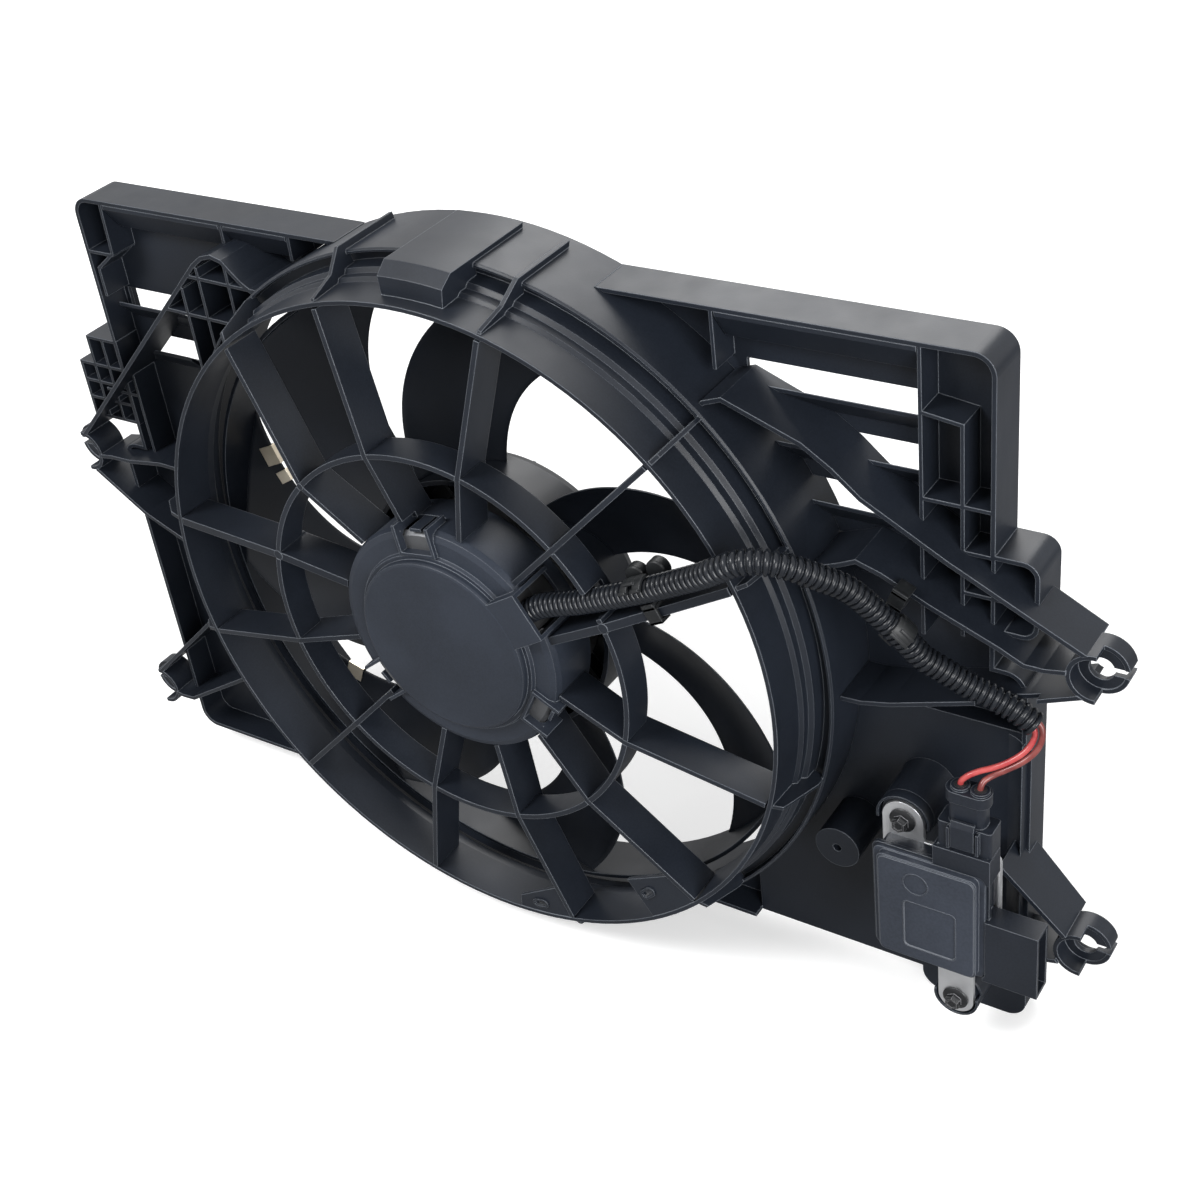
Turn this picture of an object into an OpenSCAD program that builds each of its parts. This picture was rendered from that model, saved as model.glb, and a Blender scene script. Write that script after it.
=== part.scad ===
// Radiator cooling fan of a passenger car: a moulded shroud that carries a brushed
// motor on twelve ribs, a seven-blade fan and a speed control module.
// The fan turns about Y. The origin lies on its axis, in the plane of the radiator.
// Each part is drawn on a bench, radiator side down, and then stood upright.

/* [Shroud] */
// Fan axis to the left edge of the upper half
upper_left = 297; // [292:1:302]
// Fan axis to the right edge of the upper half
upper_right = 304; // [300:1:309]
// Fan axis to the left edge of the lower half
lower_left = 316; // [308:1:322]
// Fan axis to the right edge of the lower half
lower_right = 322; // [316:1:328]
// Fan axis to the top edge
top_edge = 207; // [203:1:212]
// Fan axis to the bottom edge
bottom_edge = 211; // [207:1:216]
// Wall of the moulding
wall = 2.5; // [2:0.1:3]
// Depth of the perimeter wall
lip_depth = 28; // [24:1:32]
// Depth of the panel's engine side
panel_depth = 9; // [8:0.5:11]
// Corner radius of the outline
corner_r = 12; // [8:1:16]

/* [Louvres] */
// Distance from one air window to the next
window_pitch = 31; // [29:0.5:33]
// Height of an air window
window_h = 17; // [14:0.5:19]
// Left edge of the air windows on the right
window_x = 162; // [160:1:168]
// Width of the air windows on the right
window_w = 100; // [90:1:104]
// Top of the highest air window on the right
window_top = 171; // [168:1:174]

/* [Barrel] */
// Outer radius of the barrel's front
throat_r = 210; // [208:0.5:213]
// How far the barrel's rear stands outside its front
barrel_flare = 14; // [12:0.5:16]
// Depth of the barrel
barrel_depth = 88; // [84:1:92]
// Depth at which the barrel narrows
shoulder_depth = 54; // [50:1:58]

/* [Stator] */
// Number of ribs that carry the motor
spokes = 12; // [12:1:12]
// Thickness of a rib
spoke_t = 3.2; // [2.6:0.1:4]
// Front to back depth of a rib
spoke_depth = 24; // [20:1:28]
// Radius of the ring that ties the ribs
tie_ring_r = 122; // [116:1:128]
// Outer radius of the motor cup
cup_r = 74.5; // [73:0.5:76]
// Depth of the motor cup's annular face
cup_face = 93; // [91:0.5:94]
// Radius of the raised disc on the cup
disc_r = 56.5; // [52:0.5:60]

/* [Fan] */
// Outer radius of the blades
tip_r = 199; // [196:0.5:201]
// Outer radius of the fan's hub
hub_r = 84; // [82:0.5:87]
// Depth of the blades' engine-side edge
blade_front = 50; // [46:1:51]
// Depth of the blades' radiator-side edge
blade_back = 24; // [20:1:28]
// Thickness of a blade in the middle of its chord
blade_t = 3.2; // [2.6:0.1:4]
// Radial clearance between the fan's band and the barrel
tip_gap = 4; // [3:0.5:5]

/* [Mounting] */
// Height of the upper right mounting lug
lug_upper_z = 46; // [43:1:49]
// Fan axis to the upper right mounting lug
lug_right_x = 359; // [356:1:362]
// Outer radius of a mounting lug
lug_r = 14.5; // [14:0.5:15.5]
// Radius of a mounting hole
lug_hole_r = 6.5; // [5.5:0.25:7]
// Depth of a lug's engine-side rim
lug_rim = 38; // [36:1:40]

/* [Motor] */
// Outer radius of the motor's steel can
can_r = 64; // [62:0.5:65]
// Radius of the motor shaft
shaft_r = 4; // [3:0.25:5]
// Outer radius of the armature
armature_r = 50; // [46:0.5:52]
// Number of armature teeth
armature_teeth = 12; // [8:1:16]

/* [Control module] */
// Width of the module's flange
module_w = 67; // [64:1:69]
// Height of the module's flange
module_h = 75; // [72:1:77]
// Thickness of the metal bracket
bracket_t = 2.5; // [2:0.25:3]
// Radius of the screws' shanks
screw_r = 2.5; // [2:0.25:3]

/* [Harness] */
// Outer diameter of the corrugated conduit
conduit_d = 14; // [12:0.5:14]
// Diameter of a lead
wire_d = 3.2; // [2.6:0.1:3.6]

/* [Hidden] */

// Gap left between the regions of one moulding where their faces are curved
seam = 0.2;
// Clearance of a piece in its seat
seat = 0.3;
// Facets of a true curve
fine = 96;

plate_back = panel_depth - wall;
spoke_pitch = 360 / spokes;
first_spoke = 15;
harness_spoke = 0;
barrel_r = throat_r + barrel_flare;
throat_in = throat_r - wall;
barrel_in = barrel_r - wall;
cup_in = cup_r - wall;
cup_back = 58;
disc_face = cup_face + 6.6;

module upright() {
    rotate([90, 0, 0]) children();
}

function polar(r, a) = [r * cos(a), r * sin(a)];

function unit(v) = v / norm(v);

function left_of(v) = [-v.y, v.x];

// A path's corner i, moved to one side by h, with its corner mitred
function mitre(path, i, h) = let (
    before = i > 0 ? unit(path[i] - path[i - 1]) : unit(path[i + 1] - path[i]),
    after = i < len(path) - 1 ? unit(path[i + 1] - path[i]) : before)
    path[i] + (left_of(before) + left_of(after)) * h / (1 + before * after);

// A strip of even width along a path
module strip(path, t) {
    last = len(path) - 1;
    polygon(concat(
        [for (i = [0:last]) mitre(path, i, t / 2)],
        [for (i = [last:-1:0]) mitre(path, i, -t / 2)]
    ));
}

// A plate on edge from p to q, with its front edge at depths fp and fq and its back at bp and bq
module web(p, q, fp, fq, bp, bq, t) {
    run = norm(q - p);
    translate([p.x, p.y, 0])
        rotate([90, 0, atan2(q.y - p.y, q.x - p.x)])
            translate([0, 0, -t / 2])
                linear_extrude(t)
                    polygon([[0, bp], [run, bq], [run, fq], [0, fp]]);
}

// A rounded rectangle from one corner to the other
module rounded(x0, y0, x1, y1, r) {
    translate([x0 + r, y0]) square([x1 - x0 - 2 * r, y1 - y0]);
    translate([x0, y0 + r]) square([x1 - x0, y1 - y0 - 2 * r]);
    for (x = [x0 + r, x1 - r], y = [y0 + r, y1 - r])
        translate([x, y]) circle(r = r, $fn = 48);
}

module ring2d(outer, inner) {
    difference() {
        circle(r = outer, $fn = fine);
        circle(r = inner, $fn = fine);
    }
}

// A bar of a constant section along X, with the section given as height and depth
module bar_x(x0, x1, section) {
    translate([x0, 0, 0])
        rotate([90, 0, 90])
            linear_extrude(x1 - x0)
                polygon(section);
}

// Outline of the shroud, set in by a margin
waist_y = 30;
shoulder_x = 327;
shoulder_y = 98;
shoulder_low = 52;
sump_x = 258;
sump_drop = 15;
module outline(in) {
    rounded(-upper_left + in, -60 + in, upper_right - in, top_edge - in, corner_r - in);
    rounded(-lower_left + in, -bottom_edge + in, lower_right - in, waist_y - in, corner_r - in);
    rounded(250 + in, shoulder_low + in, shoulder_x - in, shoulder_y - in, 9 - in);
    rounded(sump_x + in, -bottom_edge - sump_drop + in, lower_right - in, -150 - in, corner_r - in);
}

// Air windows on both sides, as [left, bottom, width, height]
left_windows = [[-291, 124, 67, 15], [-284, 93.5, 46, 15]];
function right_window(i) = [window_x, window_top - window_h - i * window_pitch, window_w, window_h];
windows = concat(left_windows, [for (i = [0:3]) right_window(i)]);

// A slat under an air window: it stands on the panel and slopes forward and up
slat_rise = 9;
slat_reach = 10;
module slat(w) {
    top = w[1] + slat_rise;
    bar_x(w[0] + seat, w[0] + w[2] - seat, [
        [w[1] - 2 * wall, panel_depth],
        [w[1] - seat, panel_depth],
        [top, panel_depth + slat_reach],
        [top - wall, panel_depth + slat_reach]
    ]);
}

// Rolled band under the top edge
module top_band(x0, x1) {
    high = top_edge - wall;
    low = top_edge - 20;
    bar_x(x0, x1, [
        [high, lip_depth],
        [high, lip_depth - wall],
        [low + wall, lip_depth - 12],
        [low + wall, panel_depth],
        [low, panel_depth],
        [low, lip_depth - 10],
        [high - wall, lip_depth]
    ]);
}

// Raised pan under the control module, from pan_x to the right and from pan_top down
pan_depth = 20;
pan_x = 150;
pan_top = -14;
module pan_region() {
    translate([pan_x, -300]) square([300, 300 + pan_top]);
}

module pan2d(in) {
    difference() {
        intersection() {
            outline(in);
            translate([pan_x + in, -300]) square([300, 300 + pan_top - in]);
        }
        circle(r = barrel_r + seam + in, $fn = fine);
    }
}

// Webs that stiffen the panel, each a path from end to end
rib_t = 2;
rib_front = 26;
panel_ribs = [
    [[-273, 206], [-274, 172], [-290, 160], [-290, 141]],
    [[-296, 171], [-274, 171]],
    [[-174, 206], [-174, 186]],
    [[-122, 206], [-122, 190]],
    [[154, 206], [154, 172]],
    [[265.5, 206], [265.5, 40]],
    [[265.5, 170], [287, 167], [287, 45]],
    [[265.5, 122], [303, 122]],
    [[265.5, 96], [303, 96]],
    [[287, 72], [326, 72]],
    [[303, 99], [303, 45]],
    [[-287, 92], [-287, 22]],
    [[-316, 70], [-287, 70]]
];

// Honeycomb block on the left edge
crate_pitch = 13;
crate_x = -334;
crate_y = 48;
crate_step = 39;
crate_h = 59;
module crate() {
    for (i = [0:3])
        strip([[crate_x + i * crate_pitch, crate_y - 1],
            [crate_x + i * crate_pitch, crate_y + 1 + (i == 0 ? crate_step : crate_h)]], rib_t);
    for (j = [0:3])
        strip([[crate_x - 1, crate_y + j * crate_pitch], [crate_x + 40, crate_y + j * crate_pitch]], rib_t);
    strip([[crate_x + crate_pitch - 1, crate_y + crate_h], [crate_x + 40, crate_y + crate_h]], rib_t);
}

module perimeter() {
    difference() {
        outline(0);
        outline(wall);
    }
    crate();
}

module barrel_hole() {
    circle(r = barrel_r + seam, $fn = fine);
}

module shroud_panel() color("#2b2d31") upright() {
    linear_extrude(plate_back)
        difference() {
            perimeter();
            barrel_hole();
        }
    translate([0, 0, plate_back])
        linear_extrude(wall)
            difference() {
                union() {
                    outline(0);
                    crate();
                }
                barrel_hole();
                pan2d(1);
                for (w = windows)
                    translate([w[0], w[1]]) square([w[2], w[3]]);
            }
    translate([0, 0, panel_depth])
        linear_extrude(lip_depth - panel_depth)
            difference() {
                union() {
                    perimeter();
                    for (path = panel_ribs)
                        strip(path, rib_t);
                }
                barrel_hole();
                pan_region();
                all_arms();
                for (p = [lug_ul, lug_ll, lug_ur, lug_lr])
                    translate(p) circle(r = lug_r + seam, $fn = 64);
            }
    difference() {
        translate([0, 0, plate_back])
            linear_extrude(pan_depth - plate_back) pan2d(0);
        linear_extrude(pan_depth - wall) pan2d(wall);
    }
}

// The slats under the air windows and the rolled band along the top edge
module louvre_slats() color("#303237") upright() {
    difference() {
        union() {
            for (w = windows)
                slat(w);
            top_band(-271, -176);
            top_band(-172, -124);
            top_band(156, 264);
        }
        translate([0, 0, panel_depth])
            linear_extrude(lip_depth) {
                all_arms();
                barrel_hole();
            }
    }
}

// Bosses that carry the module, and a spare one beside them: [x, y, depth, radius]
upper_boss = [264, -66, 52, 13.5];
lower_boss = [294, -188, 52, 11];
spare_at = polar(barrel_r + 21.5, -25.8);
spare_boss = [spare_at.x, spare_at.y, 50, 13.5];
boss_hole_r = screw_r + 0.05;
boss_hole_depth = 20;
module boss(b) {
    difference() {
        translate([b.x, b.y, pan_depth])
            cylinder(h = b[2] - pan_depth, r = b[3], $fn = 64);
        translate([b.x, b.y, b[2] - boss_hole_depth])
            cylinder(h = boss_hole_depth + 1, r = boss_hole_r, $fn = 32);
    }
}

module module_bosses() color("#26282c") upright() {
    boss(upper_boss);
    boss(lower_boss);
    boss(spare_boss);
}

// Section of the barrel, as radius and depth, with a groove round its shoulder
groove_depth = 7.5;
barrel_section = [
    [barrel_in, 0],
    [barrel_r, 0],
    [barrel_r, shoulder_depth - 3],
    [barrel_r - 1, shoulder_depth - 2],
    [barrel_in + 0.3, shoulder_depth - 2],
    [barrel_in - 0.2, shoulder_depth - groove_depth],
    [throat_r + 6, shoulder_depth - groove_depth],
    [throat_r + 5.5, shoulder_depth + 3],
    [throat_r + 3, shoulder_depth + 5],
    [throat_r + 3, shoulder_depth + 10],
    [throat_r + 1, shoulder_depth + 12],
    [throat_r, barrel_depth],
    [throat_in, barrel_depth],
    [throat_in - 1, shoulder_depth + 8],
    [throat_in, shoulder_depth + 1.5],
    [throat_r + 3, shoulder_depth - 4],
    [throat_r + 3, shoulder_depth - groove_depth - wall],
    [barrel_in, shoulder_depth - groove_depth - wall]
];

function spoke_mid(i) = first_spoke + i * spoke_pitch + (i == harness_spoke ? 6.5 : 0);
function spoke_rim(i) = first_spoke + i * spoke_pitch + (i == harness_spoke ? 9 : i == 4 ? -7 : i == 5 ? 7 : 0);
function spoke_hub(i) = first_spoke + i * spoke_pitch;

module fan_barrel() color("#26282c") upright() {
    rotate_extrude($fn = fine) polygon(barrel_section);
    for (i = [0:spokes - 1])
        gusset(spoke_rim(i), 2.4, i == 2 || i == 3 ? strap_edge : i == 5 || i == 6 ? kink_edge : fin_edge);
    rotate([0, 0, pad_from])
        rotate_extrude(angle = pad_to - pad_from, $fn = fine)
            polygon(concat([
                [barrel_r - 1, 6],
                [barrel_r + 3, 6],
                [barrel_r + 3, barrel_depth - 17],
                [barrel_r - 3, barrel_depth - 9],
                [throat_r - 1, barrel_depth - 9],
                [throat_r - 1, shoulder_depth + 9]
            ], groove_bridge));
    ear(3 * spoke_pitch + 195, ear_low);
    ear(4 * spoke_pitch + 195, ear_high);
}

// Line inside the wall of the barrel, under whatever bridges the groove
groove_bridge = [
    [throat_r, shoulder_depth + 4],
    [throat_r + 4.5, shoulder_depth + 1],
    [throat_r + 4.5, shoulder_depth - 5],
    [barrel_r - 1, shoulder_depth - 5]
];

// Outer edges of the fins: plain, carried back along the barrel, and with a kink
fin_edge = [
    [barrel_r - 1, shoulder_depth + 3],
    [throat_r + 5.5, barrel_depth - 4]
];
strap_edge = [
    [barrel_r - 1, 8],
    [barrel_r + 4, 8],
    [barrel_r + 4, shoulder_depth + 2],
    [throat_r + 7, shoulder_depth + 14],
    [throat_r + 1.5, barrel_depth - 2]
];
kink_edge = [
    [barrel_r - 1, shoulder_depth + 5],
    [barrel_r + 4, barrel_depth - 17],
    [barrel_r + 4, barrel_depth - 11],
    [throat_r + 9, barrel_depth - 3]
];

// A fin on the outside of the barrel, where a rib meets it
module gusset(a, t, edge) {
    rotate([0, 0, a])
        rotate([90, 0, 0])
            translate([0, 0, -t / 2])
                linear_extrude(t)
                    polygon(concat(groove_bridge, edge, [[throat_r - 1, barrel_depth - 1]]));
}

// Block on the top of the barrel, between these angles
pad_from = 82.5;
pad_to = 93.3;

// A corner plate beside a rib, with its edge given along and across the rib, and then its slot
ear_low = [[184, -2], [194.5, -37], [204.5, -41], [198.8, -22.2]];
ear_high = [[187, -2], [176, -35], [204.5, -41], [189.3, -28.4]];
module ear(a, p) {
    rotate([0, 0, a])
        translate([0, 0, barrel_depth - 2.8])
            linear_extrude(2.4)
                difference() {
                    intersection() {
                        polygon([p[0], p[1], p[2], [230, -44], [230, -2]]);
                        circle(r = throat_r - 1.2, $fn = fine);
                    }
                    translate(p[3]) rounded(-2, -4.5, 2, 4.5, 1.9);
                }
}

// A rib runs from the cup to the tie ring and on to the barrel
rib_hub_front = cup_face - 3;
rib_mid_front = barrel_depth + 8.5;
rib_back = barrel_depth - spoke_depth;
tie_back = rib_mid_front - spoke_depth;
function spoke_width(i) = i == 5 || i == harness_spoke ? spoke_t + 2 : spoke_t;
module spoke(i) {
    hub = polar(cup_r - 2, spoke_hub(i));
    mid = polar(tie_ring_r, spoke_mid(i));
    rim = polar(throat_r, spoke_rim(i));
    if (spoke_rim(i) == spoke_hub(i))
        rotate([90, 0, spoke_hub(i)])
            translate([0, 0, -spoke_t / 2])
                linear_extrude(spoke_t)
                    polygon([
                        [cup_r - 2, rib_back],
                        [tie_ring_r, tie_back],
                        [throat_r, rib_back],
                        [throat_r, barrel_depth],
                        [tie_ring_r, rib_mid_front],
                        [cup_r - 2, rib_hub_front]
                    ]);
    else {
        web(hub, mid, rib_hub_front, rib_mid_front, rib_back, tie_back, spoke_width(i));
        web(mid, rim, rib_mid_front, barrel_depth, tie_back, rib_back, spoke_width(i));
        translate([mid.x, mid.y, tie_back])
            cylinder(h = spoke_depth, d = spoke_width(i) + 1, $fn = 32);
    }
}

module stator_spokes() color("#2b2d31") upright() {
    for (i = [0:spokes - 1])
        difference() {
            intersection() {
                spoke(i);
                translate([0, 0, 30])
                    linear_extrude(80) ring2d(throat_in - 1 - seam, cup_r + seam);
            }
            for (a = latch_angles)
                rotate([0, 0, a])
                    translate([disc_r, -latch_w / 2 - 2 - seam, cup_face - 14 - seam])
                        cube([cup_r + 3 + seam - disc_r, latch_w + 4 + 2 * seam, 30]);
        }
}

// The ring that ties the ribs together: one arc from each rib to the next
tie_ring_depth = 20;
function half_width(i) = asin(((i == 4 || i == 5 || i == harness_spoke ? 1 : 0) + spoke_width(i)) / 2 / tie_ring_r)
    + 0.05;
conduit_angle = 27.9;
conduit_notch_back = 81;
module tie_ring() color("#303237") upright() {
    for (i = [0:spokes - 1]) {
        next = (i + 1) % spokes;
        from = spoke_mid(i) + half_width(i);
        to = spoke_mid(next) + (next == 0 ? 360 : 0) - half_width(next);
        difference() {
            rotate([0, 0, from])
                rotate_extrude(angle = to - from, $fn = fine)
                    translate([tie_ring_r - spoke_t / 2, rib_mid_front - tie_ring_depth])
                        square([spoke_t, tie_ring_depth]);
            rotate([0, 0, conduit_angle])
                translate([tie_ring_r - 10, -conduit_d / 2 - 1, conduit_notch_back])
                    cube([20, conduit_d + 2, 20]);
        }
    }
}

// Section of the motor cup, as radius and depth
cup_fillet = 5;
step_r = disc_r + 3.5;
cup_section = [
    [0, disc_face - wall],
    [disc_r - wall - 1, disc_face - wall],
    [disc_r - wall, disc_face - wall - 1],
    [disc_r - wall, cup_face - wall],
    [cup_in - 2, cup_face - wall],
    [cup_in, cup_face - wall - 2],
    [cup_in, cup_back],
    [cup_r, cup_back],
    [cup_r, cup_face - cup_fillet],
    [cup_r - 1.5, cup_face - 1.5],
    [cup_r - cup_fillet, cup_face],
    [step_r, cup_face],
    [step_r - 1, cup_face + 2],
    [disc_r, cup_face + 2],
    [disc_r, disc_face - 2],
    [disc_r - 0.6, disc_face - 0.6],
    [disc_r - 2, disc_face],
    [0, disc_face]
];

// Angles of the three latch windows and of the harness outlet
latch_angles = [98, 218, 332];
latch_w = 22;
latch_in = disc_r + 4;
latch_back = cup_face - 17;
outlet_angle = 31;
outlet_w = 30;
outlet_back = cup_face - 26;
flange_back = cup_face - wall - 3;
hook_w = 8;
module latch_rim() {
    translate([latch_in - 2, -latch_w / 2 - 2, cup_face - 1.1])
        cube([cup_r + 5 - latch_in, latch_w + 4, 3.7]);
    translate([cup_in + seat, -latch_w / 2 - 2, cup_face - 14])
        cube([cup_r + 3 - cup_in - seat, latch_w + 4, 13]);
}

module latch_window() {
    translate([latch_in, -latch_w / 2, latch_back])
        cube([cup_r + 4 - latch_in, latch_w, 30]);
}

// A snap hook that stands in a latch window and grips the motor's flange
module latch_hook() {
    translate([cup_in, hook_w / 2, 0])
        rotate([90, 0, 0])
            linear_extrude(hook_w)
                polygon([
                    [0.2, latch_back - 6],
                    [wall - 0.3, latch_back - 6],
                    [wall - 0.3, cup_face - 2],
                    [0.2, cup_face - 2],
                    [0.2, flange_back - seat],
                    [-2.5, flange_back - seat],
                    [0.2, flange_back - 5]
                ]);
}

module outlet_tunnel() {
    translate([disc_r - 12, -outlet_w / 2, cup_face - 1.1])
        cube([cup_r - disc_r + 14, outlet_w, disc_face - cup_face + 0.8]);
    translate([cup_in + seat, -outlet_w / 2, outlet_back])
        cube([wall + 1.5, outlet_w, 26]);
}

module outlet_bore() {
    translate([disc_r - 8, -outlet_w / 2 + wall, outlet_back])
        cube([40, outlet_w - 2 * wall, disc_face - wall - outlet_back - 0.3]);
}

module motor_cup() color("#35373c") upright() {
    difference() {
        union() {
            rotate_extrude($fn = fine) polygon(cup_section);
            for (a = latch_angles)
                rotate([0, 0, a]) latch_rim();
            rotate([0, 0, outlet_angle]) outlet_tunnel();
        }
        for (a = latch_angles)
            rotate([0, 0, a]) latch_window();
        rotate([0, 0, outlet_angle]) outlet_bore();
    }
    for (a = latch_angles)
        rotate([0, 0, a]) latch_hook();
}

// A mounting lug: a disc with a slotted hole, a skirt behind it and a collar round its inner half
lug_floor = 3;
lug_floor_back = 24;
lug_back = 17;
slot_w = 4.5;
module lug_cup(p, side) {
    difference() {
        translate([p.x, p.y, lug_back])
            cylinder(h = lug_rim - lug_back, r = lug_r, $fn = 64);
        translate([p.x, p.y, lug_back - 1])
            cylinder(h = lug_floor_back - lug_back + 1, r = lug_r - wall, $fn = 64);
        translate([p.x, p.y, lug_floor_back + lug_floor])
            cylinder(h = lug_rim, r = lug_r - wall, $fn = 64);
        translate([p.x + (side < 0 ? -2 * lug_r : 0.8), p.y - 2 * lug_r, lug_floor_back + lug_floor + 0.5])
            cube([2 * lug_r - 0.8, 4 * lug_r, lug_rim]);
        translate([p.x, p.y, 0])
            cylinder(h = lug_rim, r = lug_hole_r, $fn = 48);
        translate([p.x + (side < 0 ? -2 * lug_r : 0), p.y - slot_w / 2, 0])
            cube([2 * lug_r, slot_w, lug_rim + 1]);
    }
}

arm_t = 2.6;
lug_ul = [-343.5, 22];
lug_ll = [-339, -177.5];
lug_ur = [lug_right_x, lug_upper_z];
lug_lr = [lug_right_x - 1, -142];

module arms_upper_left() {
    strip([[-341, 34.5], [-186, 185], [-177.5, 191], [-169, 193.5], [-161, 191.7], [-155, 186],
        [-148, 180], [-130, 170]], arm_t);
    strip([[-332, 20.6], [-318, 23], [-300, 24], [-269.6, 29.4], [-239, 30], [-212, 35]], arm_t);
    strip([[-339, 8.5], [-298.5, -17.2], [-266.7, -29], [-205, -50]], arm_t);
    strip([[-201, 168], [-201, 60]], rib_t);
    strip([[-184, 184], [-184, 125]], rib_t);
    strip([[-159, 190], [-159, 150]], rib_t);
    strip([[-193, 177], [-137, 177]], rib_t);
    strip([[-221, 151], [-163, 151]], rib_t);
}

module arms_lower_left() {
    strip([[-341, -167.4], [-262.5, -95.6], [-195, -34]], arm_t);
    strip([[-330, -179.2], [-319, -180], [-307.7, -178.7], [-244, -139.1], [-180, -104]], arm_t);
}

module arms_upper_right() {
    strip([[140, 146], [156.4, 162.9], [166.8, 166.5], [209.2, 148.9], [224.6, 137.8], [240, 123.8],
        [284, 97.1], [327.4, 73.4], [357, 57.4]], arm_t);
    strip([[205, 74], [227.6, 82.5], [235.9, 86.3], [249.3, 81.6], [274.8, 68.5], [310.3, 52.4],
        [323.7, 45.2], [333.8, 44.9], [346, 46.8]], arm_t);
    strip([[215, -4], [235.5, -3.7], [252.6, -0.1], [291.1, 12], [325.5, 22.8], [354.5, 34.4]], arm_t);
}

module arms_lower_right() {
    strip([[314, -88], [325, -101], [352, -133]], arm_t);
    strip([[314, -153], [348, -149.5]], arm_t);
}

module all_arms() {
    arms_upper_left();
    arms_lower_left();
    arms_upper_right();
    arms_lower_right();
}

// A lug and its arms, which stand on the panel and rise from the lug to the barrel
arm_rise = 10;
saddle = [299, 8, 33.5];
module lug(p, inner_x) {
    side = p.x < 0 ? -1 : 1;
    lug_cup(p, side);
    intersection() {
        difference() {
            translate([0, 0, panel_depth])
                linear_extrude(80)
                    difference() {
                        children();
                        translate(p) circle(r = lug_r - 0.5, $fn = 64);
                        barrel_hole();
                    }
            translate(saddle) cube([32, 22, 20]);
            linear_extrude(pan_depth) pan2d(0);
        }
        rotate([90, 0, 0])
            translate([0, 0, -400])
                linear_extrude(800)
                    polygon([
                        [inner_x, 0],
                        [p.x + side * 20, 0],
                        [p.x + side * 20, lug_rim],
                        [p.x, lug_rim],
                        [inner_x, lug_rim + arm_rise]
                    ]);
    }
}

module lug_upper_left() color("#2b2d31") upright()
    lug(lug_ul, -120) arms_upper_left();

module lug_lower_left() color("#2b2d31") upright()
    lug(lug_ll, -120) arms_lower_left();

module lug_upper_right() color("#2b2d31") upright()
    lug(lug_ur, 120) arms_upper_right();

module lug_lower_right() color("#2b2d31") upright()
    lug(lug_lr, 290) arms_lower_right();

// The motor, from its radiator side to its engine side
can_t = 2;
can_back = 30;
can_in = can_r - can_t;
bearing_r = 11;
bearing_w = 7;
bearing_wall = 2;
fan_bearing_back = 26;
end_bearing_back = flange_back + 0.5;
end_boss_top = end_bearing_back + bearing_w + can_t;
notch_w = 24;
shaft_back = 2;
shaft_top = end_boss_top - can_t - 0.5;
running_gap = 0.05;

module motor_can() color("#8d9096") upright() {
    difference() {
        rotate_extrude($fn = fine)
            polygon([
                [bearing_r, fan_bearing_back],
                [bearing_r + bearing_wall, fan_bearing_back],
                [bearing_r + bearing_wall, can_back],
                [can_r - 3, can_back],
                [can_r, can_back + 3],
                [can_r, flange_back],
                [can_in, flange_back],
                [can_in, can_back + can_t + 2],
                [can_in - 2, can_back + can_t],
                [bearing_r, can_back + can_t + 1]
            ]);
        rotate([0, 0, outlet_angle])
            translate([can_in - 5, -notch_w / 2, flange_back - 9])
                cube([20, notch_w, 20]);
    }
}

module motor_end_plate() color("#9a9da3") upright() {
    difference() {
        rotate_extrude($fn = fine)
            polygon([
                [bearing_r, flange_back],
                [cup_in - 0.5, flange_back],
                [cup_in - 0.5, flange_back + 0.4],
                [cup_in - 2.7, cup_face - wall],
                [bearing_r + bearing_wall, cup_face - wall],
                [bearing_r + bearing_wall, end_boss_top],
                [0, end_boss_top],
                [0, end_boss_top - can_t],
                [bearing_r, end_boss_top - can_t]
            ]);
        rotate([0, 0, outlet_angle])
            translate([can_in - 5, -notch_w / 2, flange_back - 1])
                cube([30, notch_w, 10]);
    }
}

// Four magnets glued inside the can
magnets = 4;
magnet_arc = 76;
magnet_gap = 0.8;
core_back = 40;
core_front = 66;
module motor_magnets() color("#4a4c50") upright() {
    for (i = [0:magnets - 1])
        rotate([0, 0, i * 360 / magnets - magnet_arc / 2])
            rotate_extrude(angle = magnet_arc, $fn = fine)
                translate([armature_r + magnet_gap, core_back - 4])
                    square([can_in - seam - armature_r - magnet_gap, core_front - core_back + 8]);
}

module bearing(back) {
    translate([0, 0, back])
        difference() {
            cylinder(h = bearing_w, r = bearing_r, $fn = 64);
            translate([0, 0, -1])
                cylinder(h = bearing_w + 2, r = shaft_r + running_gap, $fn = 64);
        }
}

module fan_side_bearing() color("#b8bbc0") upright()
    bearing(fan_bearing_back);

module end_bearing() color("#b8bbc0") upright()
    bearing(end_bearing_back);

// Brush card: a disc under the end plate with four brush boxes
brush_count = 4;
brush_w = 8;
brush_h = 7;
commutator_r = 13;
commutator_back = 74;
commutator_front = 84;
card_t = 2.5;
card_back = flange_back - card_t;
card_r = can_in - 1;
box_in = commutator_r + 2;
box_out = 38;
box_wall = 1.4;
brush_back = card_back - 1 - brush_h - 0.5;
brush_gap = 0.1;
module brush_box(r0, r1, w, back, h) {
    translate([r0, -w / 2, back]) cube([r1 - r0, w, h]);
}

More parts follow.
